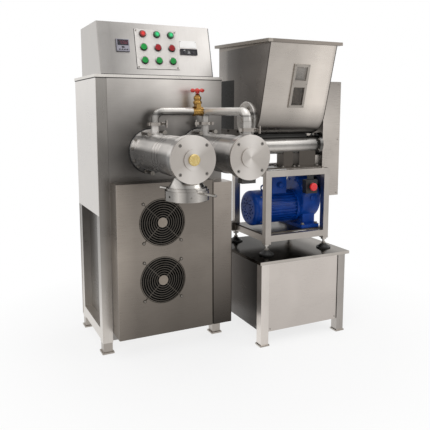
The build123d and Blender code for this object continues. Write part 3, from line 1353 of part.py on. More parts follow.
def make_motor_frame():
    bars = [square_tube(x, y, (FRAME_POST_Z, FRAME_TOP_Z), "z") for x in frame_xs for y in frame_ys]
    low = (FRAME_LOW_Z, FRAME_LOW_Z + FRAME_TUBE)
    top = (FRAME_TOP_Z - FRAME_TUBE, FRAME_TOP_Z)
    inner_x = (frame_xs[0][1], frame_xs[1][0])
    inner_y = (frame_ys[0][1], frame_ys[1][0])
    bars += [square_tube(inner_x, y, z, "x") for y in frame_ys for z in (low, top)]
    bars += [square_tube(x, inner_y, z, "y") for x in frame_xs for z in (low, top)]
    plate_x = (FRAME_X + MOTOR_PLATE_GAP, FRAME_END_X - MOTOR_PLATE_GAP)
    plate_y = (inner_y[0] + MOTOR_PLATE_GAP, inner_y[1] - MOTOR_PLATE_GAP)
    bars.append(block(plate_x, plate_y, (MOTOR_PLATE_Z, MOTOR_PLATE_Z + MOTOR_PLATE_T)))
    carrier_y = about(FEED_Y, CARRIER_W)
    carrier_z = (FRAME_TOP_Z, FRAME_TOP_Z + CARRIER_T)
    bars.append(block((FRAME_X, GUARD_X), carrier_y, carrier_z))
    for x, length in zip(PEDESTAL_XS, PEDESTAL_LS):
        pedestal = block(about(x, length), about(FEED_Y, PEDESTAL_W), (carrier_z[1], FEED_Z))
        bars.append(pedestal - rod_x(around(about(x, length)), FEED_Y, FEED_Z, TUBE_R))
    lug_y = FRAME_END_Y - FRAME_TUBE / 2
    lug_z = (FRAME_LOW_Z, FRAME_LOW_Z + LUG_H)
    lug = block((FRAME_X - LUG_T, FRAME_X), about(lug_y, LUG_D), lug_z)
    bolt_x = (FRAME_X - LUG_T - LUG_BOLT_L, FRAME_X - LUG_T)
    bars.append(lug + rod_x(bolt_x, lug_y, sum(lug_z) / 2, LUG_BOLT_R))
    return group(bars)


def motor_foot(x, y):
    """A round rubber pad on a levelling stud, with a collar under the frame's post."""
    pad = rod_z(x, y, (STAND_H, STAND_H + PAD_EDGE_H), PAD_R)
    cone_h = PAD_H - PAD_EDGE_H
    pad += Pos(x, y, STAND_H + PAD_EDGE_H + cone_h / 2) * Cone(PAD_SHOULDER_R, PAD_NECK_R, cone_h)
    pad += rod_z(x, y, (STAND_H + PAD_H, FRAME_POST_Z + STUD_INSERT), STUD_R)
    return pad + rod_z(x, y, (FRAME_POST_Z - COLLAR_H, FRAME_POST_Z), COLLAR_R)


def make_motor_feet():
    return group([motor_foot(sum(x) / 2, sum(y) / 2) for x in frame_xs for y in frame_ys])


rail_under_z = FRAME_TOP_Z - FRAME_TUBE
stop_z = (rail_under_z - STOP_DROP - STOP_H, rail_under_z - STOP_DROP)
stop_place = Pos(STOP_X + STOP_W / 2, FRAME_Y, sum(stop_z) / 2) * Rot(90, 0, 0)


def make_stop_box():
    box = block((STOP_X, STOP_X + STOP_W), (FRAME_Y, FRAME_Y + STOP_D), stop_z)
    box = fillet(box.edges().filter_by(Axis.Y), STOP_EDGE_R)
    hanger_y = FRAME_Y + HANGER_SETBACK
    hanger_x = about(STOP_X + STOP_W / 2, HANGER_W)
    box += block(hanger_x, (hanger_y, hanger_y + HANGER_T), (stop_z[1], rail_under_z))
    box += stop_place * rod_z(0, 0, (0, STOP_COLLAR_H), STOP_COLLAR_R)
    well = (-STOP_STEM_L - STOP_TRAVEL, STOP_COLLAR_H + OVERRUN)
    return box - stop_place * rod_z(0, 0, well, STOP_STEM_R + RUN_FIT)


def make_stop_button():
    head_z = (STOP_COLLAR_H + STOP_HEAD_GAP, STOP_COLLAR_H + STOP_HEAD_GAP + STOP_HEAD_H)
    head = rod_z(0, 0, head_z, STOP_HEAD_R)
    head = fillet(head.edges().group_by(Axis.Z)[-1], STOP_HEAD_EDGE_R)
    return stop_place * (head + rod_z(0, 0, (-STOP_STEM_L, head_z[0]), STOP_STEM_R))


# Stand
leg_xs = (
    (STAND_X + STAND_INSET, STAND_X + STAND_INSET + STAND_LEG),
    (STAND_END_X - STAND_INSET - STAND_LEG, STAND_END_X - STAND_INSET),
)
leg_ys = (
    (STAND_Y + STAND_INSET, STAND_Y + STAND_INSET + STAND_LEG),
    (STAND_END_Y - STAND_INSET - STAND_LEG, STAND_END_Y - STAND_INSET),
)
leg_between_x = (leg_xs[0][1], leg_xs[1][0])
leg_between_y = (leg_ys[0][1], leg_ys[1][0])
leg_top_z = STAND_H - SHEET


def make_table_top():
    table = block((STAND_X, STAND_END_X), (STAND_Y, STAND_END_Y), (STAND_H - TABLE_EDGE, STAND_H))
    inner_x = (STAND_X + SHEET, STAND_END_X - SHEET)
    inner_y = (STAND_Y + SHEET, STAND_END_Y - SHEET)
    return table - block(inner_x, inner_y, (STAND_H - TABLE_EDGE - OVERRUN, leg_top_z))


def make_stand_frame():
    bars = [square_tube(x, y, (FOOT_PLATE_T, leg_top_z), "z") for x in leg_xs for y in leg_ys]
    for z in ((STAND_RAIL_Z, STAND_RAIL_Z + STAND_RAIL_H), (leg_top_z - STAND_RAIL_H, leg_top_z)):
        for y in leg_ys:
            bars.append(square_tube(leg_between_x, about(sum(y) / 2, STAND_RAIL_W), z, "x"))
        for x in leg_xs:
            bars.append(square_tube(about(sum(x) / 2, STAND_RAIL_W), leg_between_y, z, "y"))
    return group(bars)


def make_stand_panels():
    z = (STAND_RAIL_Z, leg_top_z)
    rail_face = (STAND_LEG - STAND_RAIL_W) / 2
    front_y = leg_ys[0][0] + rail_face
    back_y = leg_ys[1][1] - rail_face
    left_x = leg_xs[0][0] + rail_face
    right_x = leg_xs[1][1] - rail_face
    front = block(leg_between_x, (leg_ys[0][0] + STAND_PANEL_SETBACK, front_y), z)
    back = block(leg_between_x, (back_y, leg_ys[1][1] - STAND_PANEL_SETBACK), z)
    left = block((left_x - SHEET, left_x), leg_between_y, z)
    right = block((right_x, right_x + SHEET), leg_between_y, z)
    return group([front, back, left, right])


# Every piece by the name of its node
nodes = {
    "cabinet_frame": make_cabinet_frame(),
    "floor_feet": make_floor_feet(),
    "cabinet_top": make_cabinet_top(),
    "cabinet_panels": make_cabinet_panels(),
    "front_panel": make_front_panel(),
    "fan_cover": make_fan_cover(),
    "side_cover": make_side_cover(),
    "fan_guards": make_fan_guards(),
    "fan_frames": make_fan_frames(),
    "upper_fan_rotor": make_fan_rotor(FAN_Z[0]),
    "lower_fan_rotor": make_fan_rotor(FAN_Z[1]),
    "control_box": make_control_box(),
    "button_plate": make_button_plate(),
    "indicator_lamps": group([on_face(u, v, make_indicator_lamp()) for u, v in lamp_places]),
    "button_bezels": group([on_face(u, v, make_button_bezel()) for u, v in button_places]),
    "temperature_controller": make_temperature_controller(),
    "blank_plates": make_blank_plates(),
    "left_barrel": make_left_barrel(),
    "right_barrel": make_right_barrel(),
    "end_covers": make_end_covers(),
    "centre_plug": make_centre_plug(),
    "barrel_bolts": make_barrel_bolts(),
    "left_screw": make_barrel_screw(LEFT_X),
    "right_screw": make_barrel_screw(RIGHT_X),
    "screw_drives": make_screw_drives(),
    "die_neck": make_die_neck(),
    "die_plate": make_die_plate(),
    "die_ring": make_die_ring(),
    "left_pipe": make_left_pipe(),
    "right_pipe": make_right_pipe(),
    "pipe_clamps": make_pipe_clamps(),
    "valve_body": make_valve_body(),
    "valve_gate": make_valve_gate(),
    "valve_wheel": make_valve_wheel(),
    "feed_tube": make_feed_tube(),
    "feed_screw": make_feed_screw(),
    "hopper_shell": make_hopper_shell(),
    "window_frame": make_window_frame(),
    "window_glass": make_window_glass(),
    "agitator": make_agitator(),
    "shaft_bearings": make_shaft_bearings(),
    "chain_guard": make_chain_guard(),
    "output_sprocket": make_output_sprocket(),
    "drive_chains": make_drive_chains(),
    "motor_housing": make_motor_housing(),
    "gear_case": make_gear_case(),
    "motor_rotor": make_motor_rotor(),
    "motor_frame": make_motor_frame(),
    "motor_feet": make_motor_feet(),
    "stop_box": make_stop_box(),
    "stop_button": make_stop_button(),
    "table_top": make_table_top(),
    "stand_frame": make_stand_frame(),
    "stand_panels": make_stand_panels(),
}
button_names = ("start_button", "stop_push_1", "stop_push_2", "run_button_1", "run_button_2", "run_button_3")
for name, (u, v) in zip(button_names, button_places):
    nodes[name] = on_face(u, v, make_push_button())

# The origin is the centre of the whole footprint, on the floor
bounds = Compound([solid for shape in nodes.values() for solid in shape.solids()]).bounding_box()
footprint = (bounds.min + bounds.max) / 2
to_origin = Pos(-footprint.X, -footprint.Y, -bounds.min.Z)

os.makedirs("parts", exist_ok=True)
for name, shape in nodes.items():
    export_step(to_origin * shape, f"parts/{name}.step")
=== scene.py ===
import math

import bmesh
import bpy
from mathutils import Matrix, Vector

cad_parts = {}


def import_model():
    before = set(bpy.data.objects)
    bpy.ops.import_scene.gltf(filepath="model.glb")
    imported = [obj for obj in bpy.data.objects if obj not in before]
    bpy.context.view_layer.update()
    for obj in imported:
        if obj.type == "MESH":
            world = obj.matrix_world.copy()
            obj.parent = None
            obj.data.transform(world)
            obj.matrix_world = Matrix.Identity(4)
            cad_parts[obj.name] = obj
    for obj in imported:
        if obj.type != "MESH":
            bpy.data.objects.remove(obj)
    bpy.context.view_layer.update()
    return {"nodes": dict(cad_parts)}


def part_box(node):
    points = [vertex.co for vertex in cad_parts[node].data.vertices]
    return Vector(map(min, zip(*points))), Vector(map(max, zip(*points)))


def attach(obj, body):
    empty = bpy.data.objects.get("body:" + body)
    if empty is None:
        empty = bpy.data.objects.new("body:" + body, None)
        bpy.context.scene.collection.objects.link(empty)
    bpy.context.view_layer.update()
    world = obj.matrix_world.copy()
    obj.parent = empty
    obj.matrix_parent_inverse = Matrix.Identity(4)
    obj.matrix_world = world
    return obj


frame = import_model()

nodes = frame["nodes"]
scene = bpy.context.scene
print("stage: frame loaded,", len(nodes), "nodes")

# Places are in the drawing's millimetres, from the cabinet's front left floor corner
unit = 0.001
capOverhang = 3 * unit
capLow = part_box("cabinet_top")[0]
drawOrigin = Vector((capLow.x + capOverhang, capLow.y + capOverhang, 0))
leftAxis = Vector((237, 0, 901))
rightAxis = Vector((474, 0, 901))
feedAxis = Vector((0, -70, 915))
boxFoot, boxLean = (25, 6, 1230), math.atan2(56, 225)
toFront, toBack = (0, -1, 0), (0, 1, 0)
toLeft, toRight = (-1, 0, 0), (1, 0, 0)
upward = (0, 0, 1)


def mm(x, y, z):
    return Vector((x, y, z)) * unit


def at(x, y, z):
    return drawOrigin + mm(x, y, z)


# Camera at the photograph's viewing angle
cameraSettings = {
    "place": (-559.3, -2303.7, 1083.65),
    "yaw": 25.77,
    "pitch": 7.84,
    "sensor": 36,
    "lens": 45.97,
    "shiftY": -0.0698,
}
camera = bpy.data.objects.new("photoCamera", bpy.data.cameras.new("photoCamera"))
scene.collection.objects.link(camera)
camera.location = at(*cameraSettings["place"])
camera.rotation_euler = (
    math.radians(90 - cameraSettings["pitch"]),
    0,
    math.radians(-cameraSettings["yaw"]),
)
camera.data.sensor_width = cameraSettings["sensor"]
camera.data.lens = cameraSettings["lens"]
camera.data.shift_y = cameraSettings["shiftY"]
scene.camera = camera
scene.view_settings.view_transform = "Standard"
print("stage: camera")


# Shader helpers
def newNode(tree, kind, **values):
    node = tree.nodes.new(kind)
    for key, value in values.items():
        setattr(node, key, value)
    return node


def feed(tree, socket, value):
    if isinstance(value, bpy.types.NodeSocket):
        tree.links.new(value, socket)
    elif isinstance(value, tuple) and len(value) == 3 and socket.type == "RGBA":
        socket.default_value = (*value, 1)
    else:
        socket.default_value = value


def mathNode(tree, operation, *values):
    node = newNode(tree, "ShaderNodeMath", operation=operation)
    for socket, value in zip(node.inputs, values):
        feed(tree, socket, value)
    return node.outputs[0]


def rangeNode(tree, value, low, high, outLow=0.0, outHigh=1.0):
    node = newNode(tree, "ShaderNodeMapRange")
    for socket, entry in zip(node.inputs, (value, low, high, outLow, outHigh)):
        feed(tree, socket, entry)
    return node.outputs[0]


def rampNode(tree, factor, stops):
    node = newNode(tree, "ShaderNodeValToRGB")
    elements = node.color_ramp.elements
    while len(elements) < len(stops):
        elements.new(0.5)
    for element, (position, color) in zip(elements, stops):
        element.position = position
        element.color = (*color, 1)
    feed(tree, node.inputs[0], factor)
    return node.outputs[0]


def mixColor(tree, factor, first, second, blend="MIX"):
    node = newNode(tree, "ShaderNodeMix", data_type="RGBA", blend_type=blend)
    for index, value in ((0, factor), (6, first), (7, second)):
        feed(tree, node.inputs[index], value)
    return node.outputs[2]


def scaledColor(tree, color, scale):
    node = newNode(tree, "ShaderNodeVectorMath", operation="SCALE")
    feed(tree, node.inputs[0], color)
    feed(tree, node.inputs["Scale"], scale)
    return node.outputs[0]


def noiseNode(tree, place, scale, detail, distortion=0.0):
    node = newNode(tree, "ShaderNodeTexNoise")
    feed(tree, node.inputs["Vector"], place)
    feed(tree, node.inputs["Scale"], scale)
    feed(tree, node.inputs["Detail"], detail)
    feed(tree, node.inputs["Distortion"], distortion)
    return node.outputs[0]


def bumpNode(tree, height, strength, distance):
    node = newNode(tree, "ShaderNodeBump")
    feed(tree, node.inputs["Distance"], distance)
    feed(tree, node.inputs["Strength"], strength)
    feed(tree, node.inputs["Height"], height)
    return node.outputs[0]


def objectPlace(tree):
    return newNode(tree, "ShaderNodeTexCoord").outputs["Object"]


# One drawing axis in millimetres
def drawAxis(tree, axis):
    parts = newNode(tree, "ShaderNodeSeparateXYZ")
    feed(tree, parts.inputs[0], objectPlace(tree))
    index = "xyz".index(axis)
    return mathNode(tree, "MULTIPLY_ADD", parts.outputs[index], 1 / unit, -drawOrigin[index] / unit)


def offAxis(tree, axis, middle):
    return mathNode(tree, "SUBTRACT", drawAxis(tree, axis), middle)


def nearest(tree, axis, middles):
    gaps = [mathNode(tree, "ABSOLUTE", offAxis(tree, axis, middle)) for middle in middles]
    return mathNode(tree, "MINIMUM", *gaps)


def beyond(tree, axis, level):
    return mathNode(tree, "GREATER_THAN", drawAxis(tree, axis), level)


def before(tree, axis, level):
    return mathNode(tree, "LESS_THAN", drawAxis(tree, axis), level)


def band(tree, axis, low, high):
    return mathNode(tree, "MULTIPLY", beyond(tree, axis, low), before(tree, axis, high))


def spread(tree, across, up):
    square = mathNode(tree, "MULTIPLY_ADD", up, up, mathNode(tree, "MULTIPLY", across, across))
    return mathNode(tree, "SQRT", square)


def hexColor(text):
    channels = [int(text[i:i + 2], 16) / 255 for i in (1, 3, 5)]
    return tuple(c / 12.92 if c <= 0.04045 else ((c + 0.055) / 1.055) ** 2.4 for c in channels)


def hexMix(tree, factor, dark, light):
    return mixColor(tree, factor, hexColor(dark), hexColor(light))


def hexRamp(tree, factor, stops):
    return rampNode(tree, factor, [(position, hexColor(text)) for position, text in stops])


def newGroup(name, inputs, outputs):
    group = bpy.data.node_groups.new(name, "ShaderNodeTree")
    for way, sockets in (("INPUT", inputs), ("OUTPUT", outputs)):
        for socketName, kind in sockets.items():
            group.interface.new_socket(name=socketName, in_out=way, socket_type="NodeSocket" + kind)
    return group, newNode(group, "NodeGroupInput").outputs, newNode(group, "NodeGroupOutput").inputs


# Brushed streaks and handling smudges, shared by the steel finishes
brushedSettings = {
    "streakDetail": 4.0, "streakRange": (0.3, 0.7), "streakHeight": 0.0004,
    "smudgeScale": 7.0, "smudgeDetail": 5.0, "smudgeTwist": 0.6, "smudgeRange": (0.35, 0.7),
    "unevenRange": (0.2, 1.8),
}


def makeBrushedGroup():
    group, entry, leave = newGroup(
        "brushedWear",
        {"Stretch": "Vector", "Bump": "Float"},
        {"Streak": "Float", "Smudge": "Float", "Normal": "Vector"},
    )
    look = brushedSettings
    place = objectPlace(group)
    stretched = newNode(group, "ShaderNodeVectorMath", operation="MULTIPLY")
    feed(group, stretched.inputs[0], place)
    feed(group, stretched.inputs[1], entry["Stretch"])
    streak = noiseNode(group, stretched.outputs[0], 1.0, look["streakDetail"])
    smudge = noiseNode(group, place, look["smudgeScale"], look["smudgeDetail"], look["smudgeTwist"])
    feed(group, leave["Streak"], rangeNode(group, streak, *look["streakRange"]))
    feed(group, leave["Smudge"], rangeNode(group, smudge, *look["smudgeRange"]))
    feed(group, leave["Normal"], bumpNode(group, streak, entry["Bump"], look["streakHeight"]))
    return group


# Fine grain and slow patches, shared by paint, plastic, rubber and castings
grainSettings = {
    "grainDetail": 3.0, "grainHeight": 0.0005, "patchScale": 18.0, "patchDetail": 4.0, "range": (0.3, 0.7),
}


def makeGrainGroup():
    group, entry, leave = newGroup(
        "fineGrain",
        {"Scale": "Float", "Bump": "Float"},
        {"Grain": "Float", "Patch": "Float", "Normal": "Vector"},
    )
    look = grainSettings
    place = objectPlace(group)
    grain = noiseNode(group, place, entry["Scale"], look["grainDetail"])
    patch = noiseNode(group, place, look["patchScale"], look["patchDetail"])
    feed(group, leave["Grain"], rangeNode(group, grain, *look["range"]))
    feed(group, leave["Patch"], rangeNode(group, patch, *look["range"]))
    feed(group, leave["Normal"], bumpNode(group, grain, entry["Bump"], look["grainHeight"]))
    return group


# Painted sheen in fan-shaped lobes, and fine rings, of a face turned on a lathe about an axis along Y
turnedSettings = {"lobes": 2.0, "lobeRange": (-0.4, 1.0), "ringsPerMm": 2.6}


def makeTurnedGroup():
    group, entry, leave = newGroup(
        "turnedSheen",
        {"X": "Float", "Z": "Float", "Turn": "Float"},
        {"Sheen": "Float", "Rings": "Float"},
    )
    across = offAxis(group, "x", entry["X"])
    up = offAxis(group, "z", entry["Z"])
    angle = mathNode(group, "ADD", mathNode(group, "ARCTAN2", up, across), entry["Turn"])
    lobes = mathNode(group, "COSINE", mathNode(group, "MULTIPLY", angle, turnedSettings["lobes"]))
    radius = spread(group, across, up)
    rings = mathNode(group, "SINE", mathNode(group, "MULTIPLY", radius, turnedSettings["ringsPerMm"]))
    feed(group, leave["Sheen"], rangeNode(group, lobes, *turnedSettings["lobeRange"]))
    feed(group, leave["Rings"], rangeNode(group, rings, -1.0, 1.0))
    return group


brushedGroup = makeBrushedGroup()
grainGroup = makeGrainGroup()
turnedGroup = makeTurnedGroup()
materials = {}


def startMaterial(name, **sockets):
    material = bpy.data.materials.new(name)
    material.use_nodes = True
    shader = material.node_tree.nodes["Principled BSDF"]
    for socketName, value in sockets.items():
        shader.inputs[socketName.replace("_", " ")].default_value = value
    materials[name] = material
    return material.node_tree, shader.inputs


def useGroup(tree, group, **values):
    node = newNode(tree, "ShaderNodeGroup", node_tree=group)
    for socketName, value in values.items():
        feed(tree, node.inputs[socketName], value)
    return node.outputs


# Soft change of painted light and shade: pairs of a place in millimetres and a level
def toneRamp(tree, place, stops):
    low, high = stops[0][0], stops[-1][0]
    levels = [((p - low) / (high - low), (level, level, level)) for p, level in stops]
    return rampNode(tree, rangeNode(tree, place, low, high), levels)


# Painted light and shade along drawing axes, multiplied into the colour, from a dictionary of axis and stops
def paintTones(tree, color, tones):
    for axis, stops in tones.items():
        color = mixColor(tree, 1.0, color, toneRamp(tree, drawAxis(tree, axis), stops), "MULTIPLY")
    return color


# Streaks per metre along x, y and z: level ones, ones that lie across x and upright ones
levelStreaks, crossStreaks, uprightStreaks = (20, 20, 1400), (1400, 20, 20), (1400, 1400, 20)


def startSteel(name, dark, light, stretch=levelStreaks, bump=0.012, tones=None, metal=1.0, **sockets):
    tree, inputs = startMaterial(name, Metallic=metal, **sockets)
    wear = useGroup(tree, brushedGroup, Stretch=stretch, Bump=bump)
    color = hexMix(tree, wear["Streak"], dark, light)
    return tree, inputs, wear, paintTones(tree, color, tones or {})


def finishSteel(tree, sockets, color, wear, rough, smudge):
    dirt = rangeNode(tree, wear["Smudge"], 0.0, 1.0, 1 - smudge, 1.0)
    feed(tree, sockets["Base Color"], scaledColor(tree, color, dirt))
    uneven = mathNode(tree, "ADD", wear["Smudge"], wear["Streak"])
    uneven = rangeNode(tree, uneven, *brushedSettings["unevenRange"], *rough)
    feed(tree, sockets["Roughness"], uneven)
    feed(tree, sockets["Normal"], wear["Normal"])


def steel(name, rough=(0.26, 0.38), smudge=0.1, **look):
    tree, sockets, wear, color = startSteel(name, **look)
    finishSteel(tree, sockets, color, wear, rough, smudge)


def finishGrain(tree, sockets, color, grain, rough):
    feed(tree, sockets["Base Color"], color)
    feed(tree, sockets["Roughness"], rangeNode(tree, grain["Grain"], 0.0, 1.0, *rough))
    feed(tree, sockets["Normal"], grain["Normal"])


def coated(name, dark, light, rough=(0.3, 0.45), scale=600.0, bump=0.12, **sockets):
    tree, inputs = startMaterial(name, **sockets)
    grain = useGroup(tree, grainGroup, Scale=scale, Bump=bump)
    finishGrain(tree, inputs, hexMix(tree, grain["Patch"], dark, light), grain, rough)


# Brushed sheet and tube; their tone ramps paint light, shade, highlights and reflections into the colour
brushedFinishes = {
    "capSheet": {"dark": "#dcd7d1", "light": "#e6e2dd", "stretch": crossStreaks},
    # Cabinet posts: painted light and shade, light at the foot and darkest at mid height
    "postTube": {
        "dark": "#e4ded7", "light": "#ede8e2", "stretch": uprightStreaks,
        "tones": {
            "z": [(0, 0.9), (150, 0.86), (330, 0.56), (560, 0.33), (850, 0.27), (1000, 0.33), (1230, 0.42)],
        },
    },
    "footSheet": {"dark": "#aca59e", "light": "#b9b3ac", "stretch": uprightStreaks},
    # Fan cover: painted reflection and shade, lighter at the left edge and darker low down
    "coverSheet": {
        "dark": "#c9beb3", "light": "#d3c9be",
        "tones": {
            "x": [(50, 0.72), (130, 0.52), (330, 0.42), (494, 0.45)],
            "z": [(93, 0.5), (280, 0.72), (460, 0.96), (640, 0.82), (772, 0.75)],
        },
    },
    # Side cover: painted shade, much darker towards the floor
    "sideSheet": {
        "dark": "#c9beb4", "light": "#d3c9bf",
        "tones": {"z": [(93, 0.09), (300, 0.26), (480, 0.45), (759, 0.66)]},
    },
    # Control box: painted reflection, dark on the left and lighter to the right, with a light left edge
    "boxSheet": {
        "dark": "#ded9d4", "light": "#e7e3df", "rough": (0.3, 0.42), "stretch": crossStreaks,
        "tones": {"x": [(25, 0.74), (30, 0.5), (80, 0.43), (160, 0.58), (340, 0.86), (547, 0.93)]},
    },
    # Chain guard: painted shade, darker towards the top
    "guardSheet": {
        "dark": "#bdb6af", "light": "#c8c1ba",
        "tones": {"z": [(660, 0.95), (1000, 0.9), (1216, 0.34)]},
    },
    # Stand legs: painted light, lighter on the left and darker to the right
    "standTube": {
        "dark": "#e2dbd5", "light": "#ebe5df", "stretch": uprightStreaks,
        "tones": {"x": [(673, 1.0), (760, 0.95), (1142, 0.55)]},
    },
    "windowSteel": {"dark": "#a9a39c", "light": "#b6b0a9"},
    "darkSeam": {"dark": "#3a3632", "light": "#4a4540"},
    "boltSteel": {"dark": "#8c8781", "light": "#a19c96", "rough": (0.25, 0.4)},
    "clampSteel": {"dark": "#9b958f", "light": "#b3ada7", "rough": (0.16, 0.28)},
    # Pipes: painted reflection, a dark band low on the pipe and light and dark bands along x
    "polishedTube": {
        "dark": "#d9d4ce", "light": "#e4e0db", "rough": (0.16, 0.24), "stretch": (60, 60, 60), "bump": 0.0,
        "metal": 0.6,
        "tones": {
            "z": [(1000, 0.6), (1056, 0.5), (1062, 0.16), (1070, 0.35), (1076, 0.9), (1092, 0.85)],
            "x": [(219, 0.35), (229, 0.9), (238, 1.0), (248, 0.45), (256, 0.55), (275, 1.0)],
        },
    },
    # Bend: painted reflection, a dark band low and a bright one above it
    "polishedBend": {
        "dark": "#d9d4ce", "light": "#e4e0db", "rough": (0.16, 0.24), "stretch": (60, 60, 60), "bump": 0.0,
        "metal": 0.42,
        "tones": {"z": [(1000, 0.8), (1054, 0.6), (1058, 0.2), (1061, 0.5), (1065, 1.0), (1092, 0.95)]},
    },
    "brassCast": {
        "dark": "#94703a", "light": "#cda561", "rough": (0.18, 0.3), "stretch": (220, 220, 220), "bump": 0.15,
    },
    "brassPlug": {
        "dark": "#c9a758", "light": "#f0dfa6", "rough": (0.28, 0.42), "stretch": (240, 240, 240), "bump": 0.4,
    },
    "shaftSteel": {"dark": "#b0aaa4", "light": "#c4bfb9", "rough": (0.2, 0.34)},
    # Barrels: painted highlight band high on the barrel and painted shade below, the right barrel darker;
    # metallic kept low so the painted highlight shows
    "polishedBarrel": {
        "dark": "#e3ded9", "light": "#efebe7", "rough": (0.18, 0.28), "stretch": (60, 900, 60), "metal": 0.3,
        "tones": {
            "z": [(818, 0.1), (850, 0.2), (888, 0.18), (912, 0.22), (926, 0.85), (932, 1.0), (950, 1.0),
                  (958, 0.4), (968, 0.32), (974, 0.9), (984, 0.9)],
            "x": [(320, 1.0), (380, 0.75)],
        },
    },
    # Die neck and ring: painted highlight and dark bands across x
    "polishedHead": {
        "dark": "#d6d1cb", "light": "#e4e0db", "rough": (0.12, 0.22), "stretch": (60, 60, 900),
        "tones": {
            "x": [(153, 0.25), (163, 0.35), (178, 0.95), (205, 0.3), (250, 0.85), (295, 0.2), (321, 0.2)],
        },
    },
    # Feed tube: painted reflection bands up the tube, darker towards the right end
    "polishedFeed": {
        "dark": "#dcd7d1", "light": "#e8e4df", "rough": (0.14, 0.26), "stretch": (900, 60, 60), "metal": 0.7,
        "tones": {
            "z": [(873, 0.2), (878, 0.9), (884, 1.0), (893, 0.7), (902, 0.92), (911, 0.58), (920, 0.42),
                  (930, 0.62), (938, 1.0), (944, 0.6), (949, 0.14), (960, 0.03)],
            "x": [(560, 1.0), (900, 0.95), (1000, 0.55), (1060, 0.2)],
        },
    },
}
for name, settings in brushedFinishes.items():
    steel(name, **settings)

# Painted, moulded and cast surfaces
capGloss = {"rough": (0.2, 0.3), "Coat_Weight": 0.15, "Specular_IOR_Level": 0.3}
coatedFinishes = {
    "redPaint": {"dark": "#b5221b", "light": "#d8382e", "rough": (0.2, 0.3), "Coat_Weight": 0.4},
    "bluePaint": {
        "dark": "#073480", "light": "#0b47a2", "rough": (0.26, 0.38), "scale": 240.0, "bump": 0.2,
        "Specular_IOR_Level": 0.25,
    },
    "blackPlastic": {"dark": "#0f0f10", "light": "#1b1b1c", "rough": (0.35, 0.5)},
    "fanPlastic": {"dark": "#060606", "light": "#0b0b0b", "rough": (0.5, 0.65), "Specular_IOR_Level": 0.2},
    "greenCap": {"dark": "#067029", "light": "#0f9a42", **capGloss},
    "redCap": {"dark": "#820a11", "light": "#a5141d", **capGloss},
    "stopCap": {"dark": "#c3181f", "light": "#df2a2f", "rough": (0.2, 0.32), "Coat_Weight": 0.4},
    "palePlate": {"dark": "#d0cbc6", "light": "#d8d4d0", "rough": (0.35, 0.5), "scale": 300.0, "bump": 0.05},
    # black for seals, sockets and joints, and for the painted shadows under the cap and the button plate
    "blackSealAndShadow": {"dark": "#0b0b0b", "light": "#171717", "rough": (0.5, 0.7)},
    "castIron": {"dark": "#43464a", "light": "#55585c", "rough": (0.45, 0.65), "scale": 220.0, "bump": 0.5},
    "controllerShell": {"dark": "#83818b", "light": "#93919b", "rough": (0.4, 0.55)},
    "keyPanel": {"dark": "#8b8993", "light": "#9997a1", "rough": (0.4, 0.55)},
    "displayGlass": {"dark": "#1a1820", "light": "#26232d", "rough": (0.05, 0.12), "bump": 0.01},
    "digitRed": {"dark": "#6f2238", "light": "#842a45", "rough": (0.3, 0.4)},
    "whiteMark": {"dark": "#d9d9d9", "light": "#eeeeee", "rough": (0.4, 0.5)},
}
for name, settings in coatedFinishes.items():
    coated(name, **settings)

# Cabinet sides: pale skin, lighter towards the top by painted light, and a recessed panel low on the left
# darkened by painted shade, more towards the bottom
skinFinish = {
    "sheet": {
        "dark": "#dfdad6", "light": "#e8e4e0", "tones": {"z": [(627, 0.86), (1000, 0.86), (1228, 1.0)]},
    },
    "recessX": (30, 45), "recessZ": (100, 627), "recess": "#d6d0ca",
    "recessShade": {"z": [(110, 0.36), (360, 0.22), (627, 0.19)]},
    "rough": (0.26, 0.38), "smudge": 0.1,
}


def makeSkinSheet():
    look = skinFinish
    tree, sockets, wear, color = startSteel("skinSheet", **look["sheet"])
    across, up = band(tree, "x", *look["recessX"]), band(tree, "z", *look["recessZ"])
    inRecess = mathNode(tree, "MULTIPLY", across, up)
    color = mixColor(tree, inRecess, color, paintTones(tree, hexColor(look["recess"]), look["recessShade"]))
    finishSteel(tree, sockets, color, wear, look["rough"], look["smudge"])


# Front panel: painted light, bright at the top middle, and painted shade and reflection, dark round the
# barrels that stand before it
frontFinish = {
    "sheet": {
        "dark": "#e6e0da", "light": "#efeae5",
        "tones": {
            "x": [(48, 0.6), (210, 0.72), (320, 1.0), (430, 0.88), (586, 0.66)],
            "z": [(60, 0.6), (740, 0.72), (820, 0.6), (990, 0.58), (1130, 0.82), (1220, 1.0)],
        },
    },
    "barrelShade": [(90, 0.36), (150, 0.6), (260, 1.0)],
    "rough": (0.28, 0.4), "smudge": 0.12,
}


def makeFrontSheet():
    look = frontFinish
    tree, sockets, wear, color = startSteel("frontSheet", **look["sheet"])
    across = nearest(tree, "x", (leftAxis.x, rightAxis.x))
    away = spread(tree, across, offAxis(tree, "z", leftAxis.z))
    color = mixColor(tree, 1.0, color, toneRamp(tree, away, look["barrelShade"]), "MULTIPLY")
    finishSteel(tree, sockets, color, wear, look["rough"], look["smudge"])


# Table top: dark mirror by painted reflection, lighter to the right, with the front edge left bright
tableFinish = {
    "sheet": {
        "dark": "#c6c0b9", "light": "#d0cac4", "stretch": (20, 900, 20), "Specular_Tint": (0.5, 0.5, 0.5, 1),
    },
    "topReflection": {"x": [(659, 0.17), (800, 0.16), (940, 0.28), (1040, 0.5), (1110, 0.95), (1156, 1.0)]},
    "frontEdge": -248.4,
    "rough": (0.1, 0.2), "smudge": 0.15,
}


def makeTableSheet():
    look = tableFinish
    tree, sockets, wear, color = startSteel("tableSheet", **look["sheet"])
    top = paintTones(tree, color, look["topReflection"])
    color = mixColor(tree, before(tree, "y", look["frontEdge"]), top, color)
    finishSteel(tree, sockets, color, wear, look["rough"], look["smudge"])


